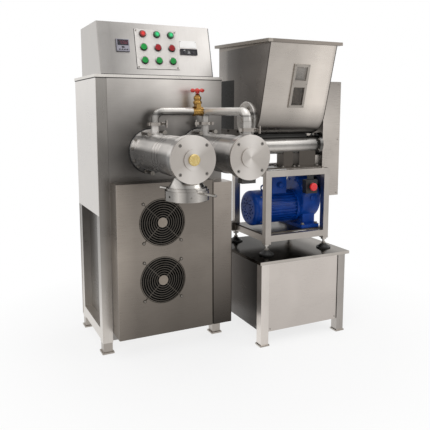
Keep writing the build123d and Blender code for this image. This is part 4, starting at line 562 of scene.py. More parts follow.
# Hopper: end plate on the left, its warm grey darkened to brown by painted reflection, near black by painted
# shade where it faces the cabinet; light warm walls elsewhere, painted shade dark towards the trough's
# bottom; rim darker by painted shade
hopperFinish = {
    "wall": {
        "dark": "#f8efe6", "light": "#fef6ed",
        "tones": {
            "z": [(965, 0.06), (995, 0.18), (1030, 0.5), (1075, 0.8), (1110, 0.95), (1250, 0.95),
                  (1380, 0.88)],
            "x": [(684, 0.62), (850, 0.7), (950, 1.0), (1012, 1.0), (1031, 0.7)],
        },
    },
    "plate": "#dcd5cf", "plateEnd": 686.5,
    "plateReflection": {
        "y": [(-290, 0.46), (-150, 0.3), (0, 0.19), (120, 0.26), (150, 0.46), (223, 0.58)],
        "z": [(965, 1.0), (1200, 1.0), (1290, 0.72), (1380, 0.72)],
    },
    # Painted shade: near black on the plate where it faces the cabinet's side
    "gapShade": "#070605", "gapShadeY": (60, 230), "gapShadeTop": 1222,
    # Rim colours: painted shade, darker on the front than on the left
    "rimFoot": 1365.5, "rimFront": "#6f6963", "rimLeft": "#8f8982",
    "rough": (0.24, 0.36), "smudge": 0.1,
}


def makeHopperSheet():
    look = hopperFinish
    tree, sockets, wear, wall = startSteel("hopperSheet", **look["wall"])
    plate = paintTones(tree, hexColor(look["plate"]), look["plateReflection"])
    inGapShade = mathNode(tree, "MULTIPLY", band(tree, "y", *look["gapShadeY"]), before(tree, "z", look["gapShadeTop"]))
    plate = mixColor(tree, inGapShade, plate, hexColor(look["gapShade"]))
    onPlate = before(tree, "x", look["plateEnd"])
    rim = hexMix(tree, onPlate, look["rimFront"], look["rimLeft"])
    color = mixColor(tree, onPlate, wall, plate)
    color = mixColor(tree, beyond(tree, "z", look["rimFoot"]), color, rim)
    finishSteel(tree, sockets, color, wear, look["rough"], look["smudge"])


# Stand: light panels, a little darker low down by painted shade, the left one dark by painted shade
standFinish = {
    "sheet": {
        "dark": "#dcd4ce", "light": "#e3dcd6", "bump": 0.01,
        "tones": {"z": [(66, 0.8), (240, 0.92), (403, 0.96)]},
    },
    "leftEnd": 682, "leftShade": {"y": [(-195, 0.09), (-60, 0.12), (60, 0.2), (181, 0.34)]},
    "rough": (0.26, 0.38), "smudge": 0.06,
}


def makeStandSheet():
    look = standFinish
    tree, sockets, wear, color = startSteel("standSheet", **look["sheet"])
    paintedShading = paintTones(tree, color, look["leftShade"])
    color = mixColor(tree, before(tree, "x", look["leftEnd"]), color, paintedShading)
    finishSteel(tree, sockets, color, wear, look["rough"], look["smudge"])


# Motor frame: satin tube, with painted shade darkening the feed tube's pedestals, the left lug and the
# motor's plate
frameFinish = {
    "tube": {"dark": "#b5afa9", "light": "#c1bbb5", "stretch": (900, 900, 900)},
    # dark: painted shade for the pedestals, the lug and the motor's plate
    "dark": "#57524d", "pedestalFoot": 804, "lugEnd": 740.5, "plateZ": (496.8, 503.5), "plateY": (-121, 154),
    "rough": (0.28, 0.42), "smudge": 0.12,
}


def makeMotorFrame():
    look = frameFinish
    tree, sockets, wear, color = startSteel("motorFrame", **look["tube"])
    dark = mathNode(tree, "MULTIPLY", band(tree, "z", *look["plateZ"]), band(tree, "y", *look["plateY"]))
    for other in (beyond(tree, "z", look["pedestalFoot"]), before(tree, "x", look["lugEnd"])):
        dark = mathNode(tree, "MAXIMUM", dark, other)
    color = mixColor(tree, dark, color, hexColor(look["dark"]))
    finishSteel(tree, sockets, color, wear, look["rough"], look["smudge"])


# End covers: turned faces with a painted sheen
faceFinish = {
    "dark": "#c0bab4", "light": "#e3ded9", "between": 355, "turn": -1.45,
    "stretch": (60, 60, 60), "bump": 0.03,
    "ringLevels": (0.94, 1.0), "rough": (0.3, 0.42), "smudge": 0.1,
}


def makeTurnedFace():
    look = faceFinish
    tree, sockets = startMaterial("turnedFace", Metallic=1.0)
    onRight = beyond(tree, "x", look["between"])
    centre = mathNode(tree, "MULTIPLY_ADD", onRight, rightAxis.x - leftAxis.x, leftAxis.x)
    face = useGroup(tree, turnedGroup, X=centre, Z=leftAxis.z, Turn=look["turn"])
    wear = useGroup(tree, brushedGroup, Stretch=look["stretch"], Bump=look["bump"])
    color = hexMix(tree, face["Sheen"], look["dark"], look["light"])
    color = scaledColor(tree, color, rangeNode(tree, face["Rings"], 0.0, 1.0, *look["ringLevels"]))
    finishSteel(tree, sockets, color, wear, look["rough"], look["smudge"])


# Bezels: chrome with a painted reflection, dark below and light above, row by row
bezelFinish = {
    "rowZ": 1295.7, "pitch": 57.25, "from": -16.0, "to": 14.0,
    "paintedShading": [(0.0, "#1d1b1a"), (0.4, "#5c5956"), (0.75, "#c9c6c3"), (1.0, "#a5a29f")],
    "scale": 700.0, "bump": 0.02, "rough": (0.12, 0.2),
}


def makeBezelChrome():
    look = bezelFinish
    tree, sockets = startMaterial("bezelChrome", Metallic=1.0)
    half = look["pitch"] / 2
    inRow = mathNode(tree, "WRAP", offAxis(tree, "z", look["rowZ"]), half, -half)
    paintedShading = hexRamp(tree, rangeNode(tree, inRow, look["from"], look["to"]), look["paintedShading"])
    grain = useGroup(tree, grainGroup, Scale=look["scale"], Bump=look["bump"])
    finishGrain(tree, sockets, paintedShading, grain, look["rough"])


# Lamps: coloured lenses, a painted highlight bright in the middle and painted shade at the edge, on chrome
# rims
lampFinish = {
    "middleX": 289.5, "pitchX": 65.0, "lensZ": 1411.9, "greenFrom": 257, "lensProud": 6.05,
    "edge": 14.0, "bright": 4.0, "rim": "#4a4745", "coat": 0.5,
    "red": [(0.0, "#5e0709"), (0.6, "#b3120f"), (1.0, "#e0241a")],
    "green": [(0.0, "#04421f"), (0.6, "#0b9a54"), (1.0, "#1fd683")],
    "scale": 700.0, "bump": 0.05, "rough": (0.12, 0.22),
}


def makeLampLens():
    look = lampFinish
    tree, sockets = startMaterial("lampLens", Coat_Weight=look["coat"])
    out = mathNode(tree, "MULTIPLY", offAxis(tree, "y", boxFoot[1]), -math.cos(boxLean))
    out = mathNode(tree, "MULTIPLY_ADD", offAxis(tree, "z", boxFoot[2]), math.sin(boxLean), out)
    onLens = mathNode(tree, "GREATER_THAN", out, look["lensProud"])
    across = mathNode(tree, "PINGPONG", offAxis(tree, "x", look["middleX"]), look["pitchX"] / 2)
    away = spread(tree, across, offAxis(tree, "z", look["lensZ"]))
    middle = rangeNode(tree, away, look["edge"], look["bright"])
    red, green = (hexRamp(tree, middle, look[key]) for key in ("red", "green"))
    glass = mixColor(tree, beyond(tree, "x", look["greenFrom"]), red, green)
    grain = useGroup(tree, grainGroup, Scale=look["scale"], Bump=look["bump"])
    finishGrain(tree, sockets, mixColor(tree, onLens, hexColor(look["rim"]), glass), grain, look["rough"])
    feed(tree, sockets["Metallic"], mathNode(tree, "SUBTRACT", 1.0, onLens))


# Fan guards: grey wire round a paler centre plate
fanSettings = {"x": 252, "heights": (598, 340)}
guardFinish = {
    "hub": 22.6, "wire": ("#4a4641", "#59544e"), "plate": ("#8a8177", "#999086"),
    "metal": 0.85, "hubMetal": 0.95, "scale": 500.0, "bump": 0.1, "rough": (0.28, 0.42),
}


def makeGuardWire():
    look = guardFinish
    tree, sockets = startMaterial("guardWire")
    up = nearest(tree, "z", fanSettings["heights"])
    away = spread(tree, offAxis(tree, "x", fanSettings["x"]), up)
    onHub = mathNode(tree, "LESS_THAN", away, look["hub"])
    grain = useGroup(tree, grainGroup, Scale=look["scale"], Bump=look["bump"])
    wire, plate = (hexMix(tree, grain["Patch"], *look[key]) for key in ("wire", "plate"))
    finishGrain(tree, sockets, mixColor(tree, onHub, wire, plate), grain, look["rough"])
    feed(tree, sockets["Metallic"], rangeNode(tree, onHub, 0.0, 1.0, look["metal"], look["hubMetal"]))


# Levelling feet: rubber pads on bright studs
padFinish = {
    "studFoot": 425.2, "stud": "#c9c5c0", "studPolish": -0.2, "rubber": ("#0f0f0f", "#1d1d1d"),
    "scale": 400.0, "bump": 0.3, "rough": (0.35, 0.55),
}


def makePadRubber():
    look = padFinish
    tree, sockets = startMaterial("padRubber")
    onStud = beyond(tree, "z", look["studFoot"])
    grain = useGroup(tree, grainGroup, Scale=look["scale"], Bump=look["bump"])
    rubber = hexMix(tree, grain["Patch"], *look["rubber"])
    rough = rangeNode(tree, grain["Grain"], 0.0, 1.0, *look["rough"])
    feed(tree, sockets["Base Color"], mixColor(tree, onStud, rubber, hexColor(look["stud"])))
    feed(tree, sockets["Metallic"], onStud)
    feed(tree, sockets["Roughness"], mathNode(tree, "MULTIPLY_ADD", onStud, look["studPolish"], rough))
    feed(tree, sockets["Normal"], grain["Normal"])


# Bare plates: pale one above, black one below
bareFinish = {
    "between": 1355.5, "pale": ("#ebe9e7", "#f4f3f1"), "black": ("#0e0e0f", "#1a1a1b"),
    "scale": 300.0, "bump": 0.05, "rough": (0.3, 0.42),
}


def makeBarePlates():
    look = bareFinish
    tree, sockets = startMaterial("barePlates")
    grain = useGroup(tree, grainGroup, Scale=look["scale"], Bump=look["bump"])
    pale, black = (hexMix(tree, grain["Patch"], *look[key]) for key in ("pale", "black"))
    color = mixColor(tree, beyond(tree, "z", look["between"]), black, pale)
    finishGrain(tree, sockets, color, grain, look["rough"])


# Window: clear panes, a little smoky, with painted light and shade, darker low and lighter high
paneFinish = {
    "clear": 0.75, "bend": 1.45, "from": 1098, "to": 1282,
    "paintedShading": [(0.0, "#4a4744"), (0.45, "#5d5a56"), (0.6, "#a9a6a2"), (1.0, "#d9d7d4")],
    "scale": 60.0, "bump": 0.01, "rough": (0.02, 0.08),
}


def makeWindowPane():
    look = paneFinish
    tree, sockets = startMaterial(
        "windowPane", Metallic=0.0, IOR=look["bend"], Transmission_Weight=look["clear"])
    paintedShading = hexRamp(tree, rangeNode(tree, drawAxis(tree, "z"), look["from"], look["to"]), look["paintedShading"])
    grain = useGroup(tree, grainGroup, Scale=look["scale"], Bump=look["bump"])
    finishGrain(tree, sockets, paintedShading, grain, look["rough"])


makeSkinSheet()
makeFrontSheet()
makeTableSheet()
makeHopperSheet()
makeStandSheet()
makeMotorFrame()
makeTurnedFace()
makeBezelChrome()
makeLampLens()
makeGuardWire()
makePadRubber()
makeBarePlates()
makeWindowPane()

nodeFinishes = {
    "skinSheet": ("cabinet_panels",),
    "frontSheet": ("front_panel",),
    "capSheet": ("cabinet_top",),
    "postTube": ("cabinet_frame",),
    "standTube": ("stand_frame",),
    "footSheet": ("floor_feet",),
    "motorFrame": ("motor_frame",),
    "coverSheet": ("fan_cover",),
    "sideSheet": ("side_cover",),
    "boxSheet": ("control_box",),
    "hopperSheet": ("hopper_shell",),
    "windowSteel": ("window_frame",),
    "guardSheet": ("chain_guard",),
    "tableSheet": ("table_top",),
    "standSheet": ("stand_panels",),
    "polishedBarrel": ("left_barrel", "right_barrel"),
    "polishedHead": ("die_neck", "die_ring"),
    "polishedFeed": ("feed_tube",),
    "polishedTube": ("left_pipe", "shaft_bearings"),
    "polishedBend": ("right_pipe",),
    "clampSteel": ("pipe_clamps",),
    "turnedFace": ("end_covers",),
    "shaftSteel": ("die_plate", "left_screw", "right_screw", "feed_screw", "agitator"),
    "boltSteel": ("barrel_bolts", "drive_chains", "output_sprocket"),
    "bezelChrome": ("button_bezels",),
    "lampLens": ("indicator_lamps",),
    "brassCast": ("valve_body", "valve_gate"),
    "brassPlug": ("centre_plug",),
    "redPaint": ("valve_wheel",),
    "bluePaint": ("motor_housing", "gear_case"),
    "blackPlastic": ("stop_box",),
    "controllerShell": ("temperature_controller",),
    "fanPlastic": ("fan_frames", "upper_fan_rotor", "lower_fan_rotor", "motor_rotor"),
    "guardWire": ("fan_guards",),
    "padRubber": ("motor_feet",),
    "greenCap": ("start_button", "run_button_1", "run_button_2", "run_button_3"),
    "redCap": ("stop_push_1", "stop_push_2"),
    "stopCap": ("stop_button",),
    "palePlate": ("button_plate",),
    "barePlates": ("blank_plates",),
    "castIron": ("screw_drives",),
    "windowPane": ("window_glass",),
}
for finish, members in nodeFinishes.items():
    for member in members:
        slots = nodes[member].data.materials
        slots.clear()
        slots.append(materials[finish])
print("stage: finishes", len(materials))


# Mesh helpers, with sizes in millimetres
sink, fineSink = 0.2, 0.1  # how far a piece reaches into the surface that carries it


def turns(count, start=0.0):
    return [2 * math.pi * (i + start) / count for i in range(count)]


def onCircle(radius, angle):
    return radius * math.cos(angle), radius * math.sin(angle)


def standing(x, y, z):
    return Matrix.Translation(at(x, y, z))


def facing(point, axis, turn=0.0):
    turned = Vector(axis).to_track_quat("Z", "Y").to_matrix().to_4x4()
    return Matrix.Translation(point) @ turned @ Matrix.Rotation(turn, 4, "Z")


def lathe(mesh, place, profile, steps=24):
    rings = []
    for radius, height in profile:
        angles = turns(steps) if radius else [0.0]
        rings.append([mesh.verts.new(place @ mm(*onCircle(radius, a), height)) for a in angles])
    for low, high in zip(rings, rings[1:]):
        for i in range(steps):
            j = (i + 1) % steps
            corners = [low[i % len(low)], low[j % len(low)], high[j % len(high)], high[i % len(high)]]
            corners = list(dict.fromkeys(corners))
            if len(corners) > 2:
                mesh.faces.new(corners)


def prism(mesh, place, outline, low, high):
    bottom = [mesh.verts.new(place @ mm(x, y, low)) for x, y in outline]
    top = [mesh.verts.new(place @ mm(x, y, high)) for x, y in outline]
    mesh.faces.new(bottom[::-1])
    mesh.faces.new(top)
    for i in range(len(outline)):
        j = (i + 1) % len(outline)
        mesh.faces.new((bottom[i], bottom[j], top[j], top[i]))


def sixSides(radius):
    return [onCircle(radius, a) for a in turns(6)]


# A flat block with its size across the place's own axes, and corners rounded where a radius is given
def slab(mesh, place, size, low, high, corner=0.0, steps=4):
    outline = []
    for x, y, start in ((-1, -1, 180), (1, -1, 270), (1, 1, 0), (-1, 1, 90)):
        middleX, middleY = x * (size[0] / 2 - corner), y * (size[1] / 2 - corner)
        for i in range(steps + 1 if corner else 1):
            dx, dy = onCircle(corner, math.radians(start + 90 * i / steps))
            outline.append((middleX + dx, middleY + dy))
    prism(mesh, place, outline, low, high)


# A round bead along points, open or closed
def bead(mesh, points, radius, closed=False, sides=8):
    rings = []
    count = len(points)
    for i, point in enumerate(points):
        last = points[i - 1] if i or closed else point
        following = points[(i + 1) % count] if i + 1 < count or closed else point
        place = facing(point, following - last)
        rings.append([mesh.verts.new(place @ mm(*onCircle(radius, a), 0)) for a in turns(sides)])
    pairs = list(zip(rings, rings[1:])) + ([(rings[-1], rings[0])] if closed else [])
    for low, high in pairs:
        for k in range(sides):
            j = (k + 1) % sides
            mesh.faces.new((low[k], low[j], high[j], high[k]))
    if not closed:
        mesh.faces.new(rings[0][::-1])
        mesh.faces.new(rings[-1])


def ringPoints(centre, axis, radius, count=28):
    place = facing(centre, axis)
    return [place @ mm(*onCircle(radius, a), 0) for a in turns(count)]


smoothSettings = {"sharp": math.radians(35), "bevelled": math.radians(40), "segments": 2}


def addPiece(name, mesh, finish, body="base", bevel=0.0):
    bmesh.ops.recalc_face_normals(mesh, faces=mesh.faces[:])
    data = bpy.data.meshes.new(name)
    mesh.to_mesh(data)
    mesh.free()
    data.materials.append(materials[finish])
    data.shade_smooth()
    data.set_sharp_from_angle(angle=smoothSettings["sharp"])
    piece = bpy.data.objects.new(name, data)
    scene.collection.objects.link(piece)
    if bevel:
        rounding = piece.modifiers.new("softEdge", "BEVEL")
        rounding.width = bevel * unit
        rounding.segments = smoothSettings["segments"]
        rounding.limit_method = "ANGLE"
        rounding.angle_limit = smoothSettings["bevelled"]
    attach(piece, body)
    return piece


# A domed screw head with a recess, as shares of its radius
panSettings = {"shape": [(1, 0), (1, 0.3), (0.8, 0.55), (0.4, 0.62), (0.36, 0.3), (0, 0.3)], "steps": 16}


def panHead(mesh, place, radius):
    profile = [(radius * across, radius * up) for across, up in panSettings["shape"]]
    lathe(mesh, place, profile, panSettings["steps"])


washerSettings = {"thick": 1.6, "steps": 20}


def hexBolt(mesh, place, radius, height, washer=0.0):
    foot = washerSettings["thick"] if washer else 0
    if washer:
        lathe(mesh, place, [(0, 0), (washer, 0), (washer, foot), (0, foot)], washerSettings["steps"])
    prism(mesh, place, sixSides(radius), foot, height)


# Hex bolts round a centre, with their heads to the left
def boltCircle(mesh, centre, circle, angles, *bolt):
    x, y, z = centre
    for a in angles:
        across, up = onCircle(circle, a)
        hexBolt(mesh, facing(at(x, y + across, z + up), toLeft, a), *bolt)


# Hex bolts on a level face
def boltGrid(mesh, xs, ys, z, *bolt):
    for x in xs:
        for y in ys:
            hexBolt(mesh, facing(at(x, y, z), upward), *bolt)


def screwGrid(mesh, axis, radius, xs, ys, zs):
    for x in xs:
        for y in ys:
            for z in zs:
                panHead(mesh, facing(at(x, y, z), axis), radius)


# A leaning face: u to the right, v up the slope, w outwards
def leaningFace(foot, lean):
    rise, run = math.cos(lean), math.sin(lean)
    return standing(*foot) @ Matrix(((1, 0, 0, 0), (0, run, -rise, 0), (0, rise, run, 0), (0, 0, 0, 1)))


boxFace = leaningFace(boxFoot, boxLean)


def onBox(u, v, w=0.0):
    return boxFace @ Matrix.Translation(mm(u, v, w))


# Controller front: display, key panel, keys and digits
controllerSettings = {
    "centre": (106.5, 128), "face": 9,
    "display": {"up": 11, "size": (48, 25), "proud": 0.7, "corner": 1.5},
    "keyPanel": {"up": -14, "size": (48, 22), "proud": 0.6, "corner": 2},
    "keys": {"across": (-16.5, -5.5, 5.5, 16.5), "up": -20, "size": (7.4, 4.5), "proud": 1.1, "corner": 1.2},
    "wideKey": {"across": (-1,), "up": -9.5, "size": (13, 7), "proud": 0.5, "corner": 1},
    "digits": {"first": -12, "pitch": 10, "size": (6.6, 12.5), "stroke": 1.3, "gap": 1.2, "proud": 0.15},
    "shown": ("abc", "abcdef", "abcdefg", "abged"), "bevel": 0.3,
}
cu, cv = controllerSettings["centre"]
face = controllerSettings["face"]
for name, key, finish, slot in (("controllerDisplay", "display", "displayGlass", "black_plastic"),
                                ("controllerKeyPanel", "keyPanel", "keyPanel", "white_sheet")):
    part = controllerSettings[key]
    mesh = bmesh.new()
    slab(mesh, onBox(cu, cv + part["up"], face), part["size"], -sink, part["proud"], part["corner"])
    addPiece(name, mesh, finish, bevel=controllerSettings["bevel"])
mesh = bmesh.new()
keyFace = face + controllerSettings["keyPanel"]["proud"]
for part in (controllerSettings["keys"], controllerSettings["wideKey"]):
    for across in part["across"]:
        place = onBox(cu + across, cv + part["up"], keyFace)
        slab(mesh, place, part["size"], -sink, part["proud"], part["corner"])
addPiece("controllerKeys", mesh, "displayGlass", bevel=controllerSettings["bevel"])

# Segments of a digit: side and height, as shares of its half size
segments = {
    "a": (0, 1), "b": (1, 0.5), "c": (1, -0.5), "d": (0, -1), "e": (-1, -0.5), "f": (-1, 0.5), "g": (0, 0),
}
mesh = bmesh.new()
digits = controllerSettings["digits"]
wide, tall = digits["size"]
flatBar = (wide - digits["gap"], digits["stroke"])
uprightBar = (digits["stroke"], tall / 2 - digits["gap"])
digitV = cv + controllerSettings["display"]["up"]
digitFace = face + controllerSettings["display"]["proud"]
for index, lit in enumerate(controllerSettings["shown"]):
    digitU = cu + digits["first"] + digits["pitch"] * index
    for letter in lit:
        x, y = segments[letter]
        place = onBox(digitU + x * wide / 2, digitV + y * tall / 2, digitFace)
        slab(mesh, place, uprightBar if x else flatBar, -fineSink, digits["proud"])
addPiece("controllerDigits", mesh, "digitRed")

# Dark joints round the controller, at the box's right edge and foot, and beside the stand's front panel;
# painted shadow as a black lip at the button plate's left and bottom edges and as a black strip under the cap
plateSettings = {
    "centre": (261, 117.5), "size": (194, 177), "thick": 2, "screwInset": 7, "screwRadius": 3.6,
    "rivetU": (374.5, 448.5), "rivetV": 160.5, "rivetBase": 1.5, "rivetRadius": 2.0,
}
jointSettings = {
    "plateShadowLip": 1.6, "plateProud": 1.4,
    "controller": {"size": (59, 56), "high": 1.2, "corner": 2},
    "bead": 1.3, "edgeU": 519.5, "edgeV": (2, 229), "edgeOut": 0.2,
    "sillU": (3, 519.5), "sillV": 1.5, "sillOut": 0.4,
    "capFoot": 1218, "capDrop": 3.6,
    "cap": (((293, -0.6), (588, 1.2)), ((-0.6, 199), (1.2, 400))),
    "stand": {"x": (714, 1101), "y": -231.1, "size": (2.2, 1), "low": 68, "high": 390},
}
pu, pv = plateSettings["centre"]
plateWide, plateTall = plateSettings["size"]
joints = jointSettings
mesh = bmesh.new()
# Painted shadow: the plate's black lip shows only at its left and bottom edges
shadowLip = joints["plateShadowLip"]
slab(mesh, onBox(pu - shadowLip / 2, pv - shadowLip / 2), (plateWide + shadowLip, plateTall + shadowLip), -sink, joints["plateProud"])
slab(mesh, onBox(cu, cv), low=-sink, **joints["controller"])
boxEdge = [onBox(joints["edgeU"], v, joints["edgeOut"]).translation for v in joints["edgeV"]]
boxSill = [onBox(u, joints["sillV"], joints["sillOut"]).translation for u in joints["sillU"]]
for line in (boxEdge, boxSill):
    bead(mesh, line, joints["bead"])
# Painted shadow: black strips under the cap's front and left edges
for (x, y), size in joints["cap"]:
    slab(mesh, standing(x, y, joints["capFoot"]), size, -joints["capDrop"], -sink)
gap = joints["stand"]
for x in gap["x"]:
    slab(mesh, standing(x, gap["y"], 0), gap["size"], gap["low"], gap["high"])
addPiece("darkJointsAndShadows", mesh, "blackSealAndShadow")

# Button plate screws and bare plate rivets
mesh = bmesh.new()
inset = plateSettings["screwInset"]
for sideU in (-1, 1):
    for sideV in (-1, 1):
        u, v = pu + sideU * (plateWide / 2 - inset), pv + sideV * (plateTall / 2 - inset)
        panHead(mesh, onBox(u, v, plateSettings["thick"]), plateSettings["screwRadius"])
for u in plateSettings["rivetU"]:
    panHead(mesh, onBox(u, plateSettings["rivetV"], plateSettings["rivetBase"]), plateSettings["rivetRadius"])
addPiece("plateScrews", mesh, "boltSteel")

# The black plate's face: a raised border, two knobs and pale marks
counterSettings = {
    "centre": (411.5, 112), "size": (81, 27), "border": 5, "face": 5, "proud": 2.2, "bevel": 0.5,
    "knobs": ((388, 110), (430, 110)), "knob": [(6, -sink), (6, 1.6), (4.5, 2.2), (0, 2.2)], "knobSteps": 20,
    "mark": {"at": (390, 119), "size": (7, 3), "proud": 0.6},
    "lines": {
        "at": (411, 106), "count": 3, "pitch": 4.5, "wide": 15, "shorter": 3, "tall": 1.2, "proud": 0.4,
    },
}
counter = counterSettings
u, v = counter["centre"]
wide, tall = counter["size"]
border, face = counter["border"], counter["face"]
mesh = bmesh.new()
for side in (1, -1):
    slab(mesh, onBox(u, v + side * (tall - border) / 2, face), (wide, border), -sink, counter["proud"])
for side in (-1, 1):
    place = onBox(u + side * (wide - border) / 2, v, face)
    slab(mesh, place, (border, tall - 2 * border), -sink, counter["proud"])
for knobU, knobV in counter["knobs"]:
    lathe(mesh, onBox(knobU, knobV, face), counter["knob"], counter["knobSteps"])
addPiece("counterFace", mesh, "displayGlass", bevel=counter["bevel"])
mesh = bmesh.new()
mark, lines = counter["mark"], counter["lines"]
slab(mesh, onBox(*mark["at"], face), mark["size"], -fineSink, mark["proud"])
u, v = lines["at"]
for index in range(lines["count"]):
    size = (lines["wide"] - lines["shorter"] * index, lines["tall"])
    slab(mesh, onBox(u, v + lines["pitch"] * index, face), size, -fineSink, lines["proud"])
addPiece("counterMarks", mesh, "whiteMark")
print("stage: control box details")

# Fan guard screws, and dust screens behind the fans
screenSettings = {
    "eye": 86, "eyeY": -103, "screwRadius": 4.0, "y": -66, "radius": 98, "thick": 3,
    "rings": 12, "ridge": [(-5, 0), (-4, 1.5), (-1, 1.5), (0, 0)], "steps": 40,
}
mesh = bmesh.new()
eye = screenSettings["eye"]
eyeXs = (fanSettings["x"] - eye, fanSettings["x"] + eye)
for z in fanSettings["heights"]:
    eyes = (eyeXs, (screenSettings["eyeY"],), (z - eye, z + eye))
    screwGrid(mesh, toFront, screenSettings["screwRadius"], *eyes)
addPiece("guardScrews", mesh, "boltSteel")
mesh = bmesh.new()
radius, thick = screenSettings["radius"], screenSettings["thick"]
profile = [(0, 0)]
for ring in range(1, screenSettings["rings"] + 1):
    outer = radius * ring / screenSettings["rings"]
    profile += [(outer + back, up) for back, up in screenSettings["ridge"]]
profile += [(radius, -thick), (0, -thick)]
for z in fanSettings["heights"]:
    place = facing(at(fanSettings["x"], screenSettings["y"], z), toFront)
    lathe(mesh, place, profile, screenSettings["steps"])
addPiece("fanScreens", mesh, "fanPlastic")

# Cover and panel screws: facing, radius and places along x, y and z
panelScrewSettings = {
    "standFront": (toFront, 3.2, (724, 1091), (-231,), (78, 391)),
    "guardFront": (toFront, 3.2, (1112, 1168), (-118,), (672, 1204)),
    "guardFrontMiddle": (toFront, 3.2, (1168,), (-118,), (938,)),
    "fanCoverLeft": (toLeft, 4, (50,), (-16,), (130, 430, 735)),
    "sideCoverRight": (toRight, 4, (592,), (-16,), (130, 430, 735)),
    "cabinetRight": (toRight, 4, (586,), (22, 376), (90, 380, 660, 940, 1195)),
    "cabinetRear": (toBack, 4, (24, 293, 562), (398,), (90, 640, 1195)),
    "boxRear": (toBack, 3.6, (50, 286, 522), (354,), (1246, 1440)),
    "standLeft": (toLeft, 3.2, (678.5,), (-180, 168), (80, 390)),
    "standRight": (toRight, 3.2, (1136.5,), (-180, 168), (80, 390)),
    "standRear": (toBack, 3.2, (724, 1091), (217,), (80, 390)),
    "guardRight": (toRight, 3.6, (1180,), (-100, 46), (690, 940, 1190)),
}
mesh = bmesh.new()
for row in panelScrewSettings.values():
    screwGrid(mesh, *row)
addPiece("panelScrews", mesh, "boltSteel")

# Louvre hoods over the rear air slots, tapered at both ends
louvreSettings = {
    "slots": 8, "first": 261, "pitch": 30, "middleX": 293, "panelY": 398,
    "length": 208, "depth": 9, "tall": 15,
    "ends": ((-0.5, 0.0), (-0.47, 0.8), (-0.44, 1.0), (0.44, 1.0), (0.47, 0.8), (0.5, 0.0)),
    "steps": 6, "sheet": 1.2,
}
louvre = louvreSettings
mesh = bmesh.new()
for index in range(louvre["slots"]):
    foot = louvre["first"] + louvre["pitch"] * index
    sections = []
    for along, share in louvre["ends"]:
        x = louvre["middleX"] + along * louvre["length"]
        ring = []
        for step in range(louvre["steps"] + 1):
            a = math.pi / 2 * step / louvre["steps"]
            y = louvre["panelY"] + louvre["depth"] * share * math.cos(a) + sink
            ring.append(mesh.verts.new(at(x, y, foot + louvre["tall"] * math.sin(a))))
        sections.append(ring)
    for first, second in zip(sections, sections[1:]):
        for step in range(louvre["steps"]):
            mesh.faces.new((first[step], second[step], second[step + 1], first[step + 1]))
louvres = addPiece("rearLouvres", mesh, "skinSheet")
skin = louvres.modifiers.new("sheetThickness", "SOLIDIFY")
skin.thickness = louvre["sheet"] * unit
print("stage: screws and louvres")

# Barrels: black seals, hex heads, tie-rod nuts and threads, cover sockets
barrelSettings = {
    "seal": [(95, 0), (100.5, 0), (100.5, 2.4), (99.5, 3.2), (95, 3.2), (95, 0)], "sealSteps": 72,
    "flange": {"circle": 90.5, "turns": (20, 50, 145, 170, 205, 225, 320), "y": -18, "bolt": (6.4, 6.2)},
    "tie": {"circle": 90, "turns": (72, 118, 250)},
    "tieNuts": ((-103.6, (10.2, 10.2)), (-24, (9.6, 8.5))),
    "thread": {"y": -32, "count": 22, "pitch": 3.2, "root": 5.05, "crest": 5.55, "steps": 12},
    "cover": {"circles": (74.7, 72.6), "turns": (45, 135, 225, 315), "y": -475},
    "socket": {"radius": 3.2, "proud": 0.25},
    "socketRing": [(5.7, -4), (6.4, -4), (6.4, 0.6), (5.7, 0.6), (5.7, -4)],
    "nutBevel": 0.5,
}
barrelAxes = (leftAxis, rightAxis)


# A place on a barrel's circle that faces the front, with the head itself spun by some angle
def onBarrel(axis, circle, turn, y, spin=0.0):
    across, up = onCircle(circle, math.radians(turn))
    return facing(at(axis.x + across, y, axis.z + up), toFront, spin)


mesh = bmesh.new()
for axis in barrelAxes:
    place = facing(at(axis.x, 0, axis.z), toFront)
    lathe(mesh, place, barrelSettings["seal"], barrelSettings["sealSteps"])
addPiece("flangeSeals", mesh, "blackSealAndShadow")
mesh = bmesh.new()
flange, tie, thread = (barrelSettings[key] for key in ("flange", "tie", "thread"))
ridges = []
for step in range(thread["count"]):
    up = thread["pitch"] * step
    ridges += [(thread["root"], up), (thread["crest"], up + thread["pitch"] / 2)]
for axis in barrelAxes:
    for turn in flange["turns"]:
        hexBolt(mesh, onBarrel(axis, flange["circle"], turn, flange["y"], spin=turn), *flange["bolt"])
    for turn in tie["turns"]:
        for y, nut in barrelSettings["tieNuts"]:
            hexBolt(mesh, onBarrel(axis, tie["circle"], turn, y, spin=turn), *nut)
        lathe(mesh, onBarrel(axis, tie["circle"], turn, thread["y"]), ridges, thread["steps"])
addPiece("barrelNuts", mesh, "boltSteel", bevel=barrelSettings["nutBevel"])
mesh = bmesh.new()
cover, socket = barrelSettings["cover"], barrelSettings["socket"]
for axis, circle in zip(barrelAxes, cover["circles"]):
    for turn in cover["turns"]:
        place = onBarrel(axis, circle, turn, cover["y"], spin=turn)
        prism(mesh, place, sixSides(socket["radius"]), -sink, socket["proud"])
        lathe(mesh, place, barrelSettings["socketRing"])
addPiece("coverSockets", mesh, "blackSealAndShadow")

# Weld beads: pipe stubs on the barrels, pipe seams, and the feed tube on the right barrel
weldSettings = {
    "bead": 1.7, "seam": 0.9, "stub": 17.2, "stubSteps": 36, "pipe": 16.9,
    "stubs": ((leftAxis, -64, 77), (rightAxis, -64, 77), (rightAxis, -447, 87.5)),
    "seams": (((237, -64, 1039), upward), ((273, -64, 1075), toRight), ((474, -411, 1075), toBack),
              ((474, -447, 1039), upward), ((474, -85, 1075), toBack), ((474, -64, 1054), upward)),
    "feedTube": 42.6, "feedBarrel": 77.6, "feedSteps": 40,
}


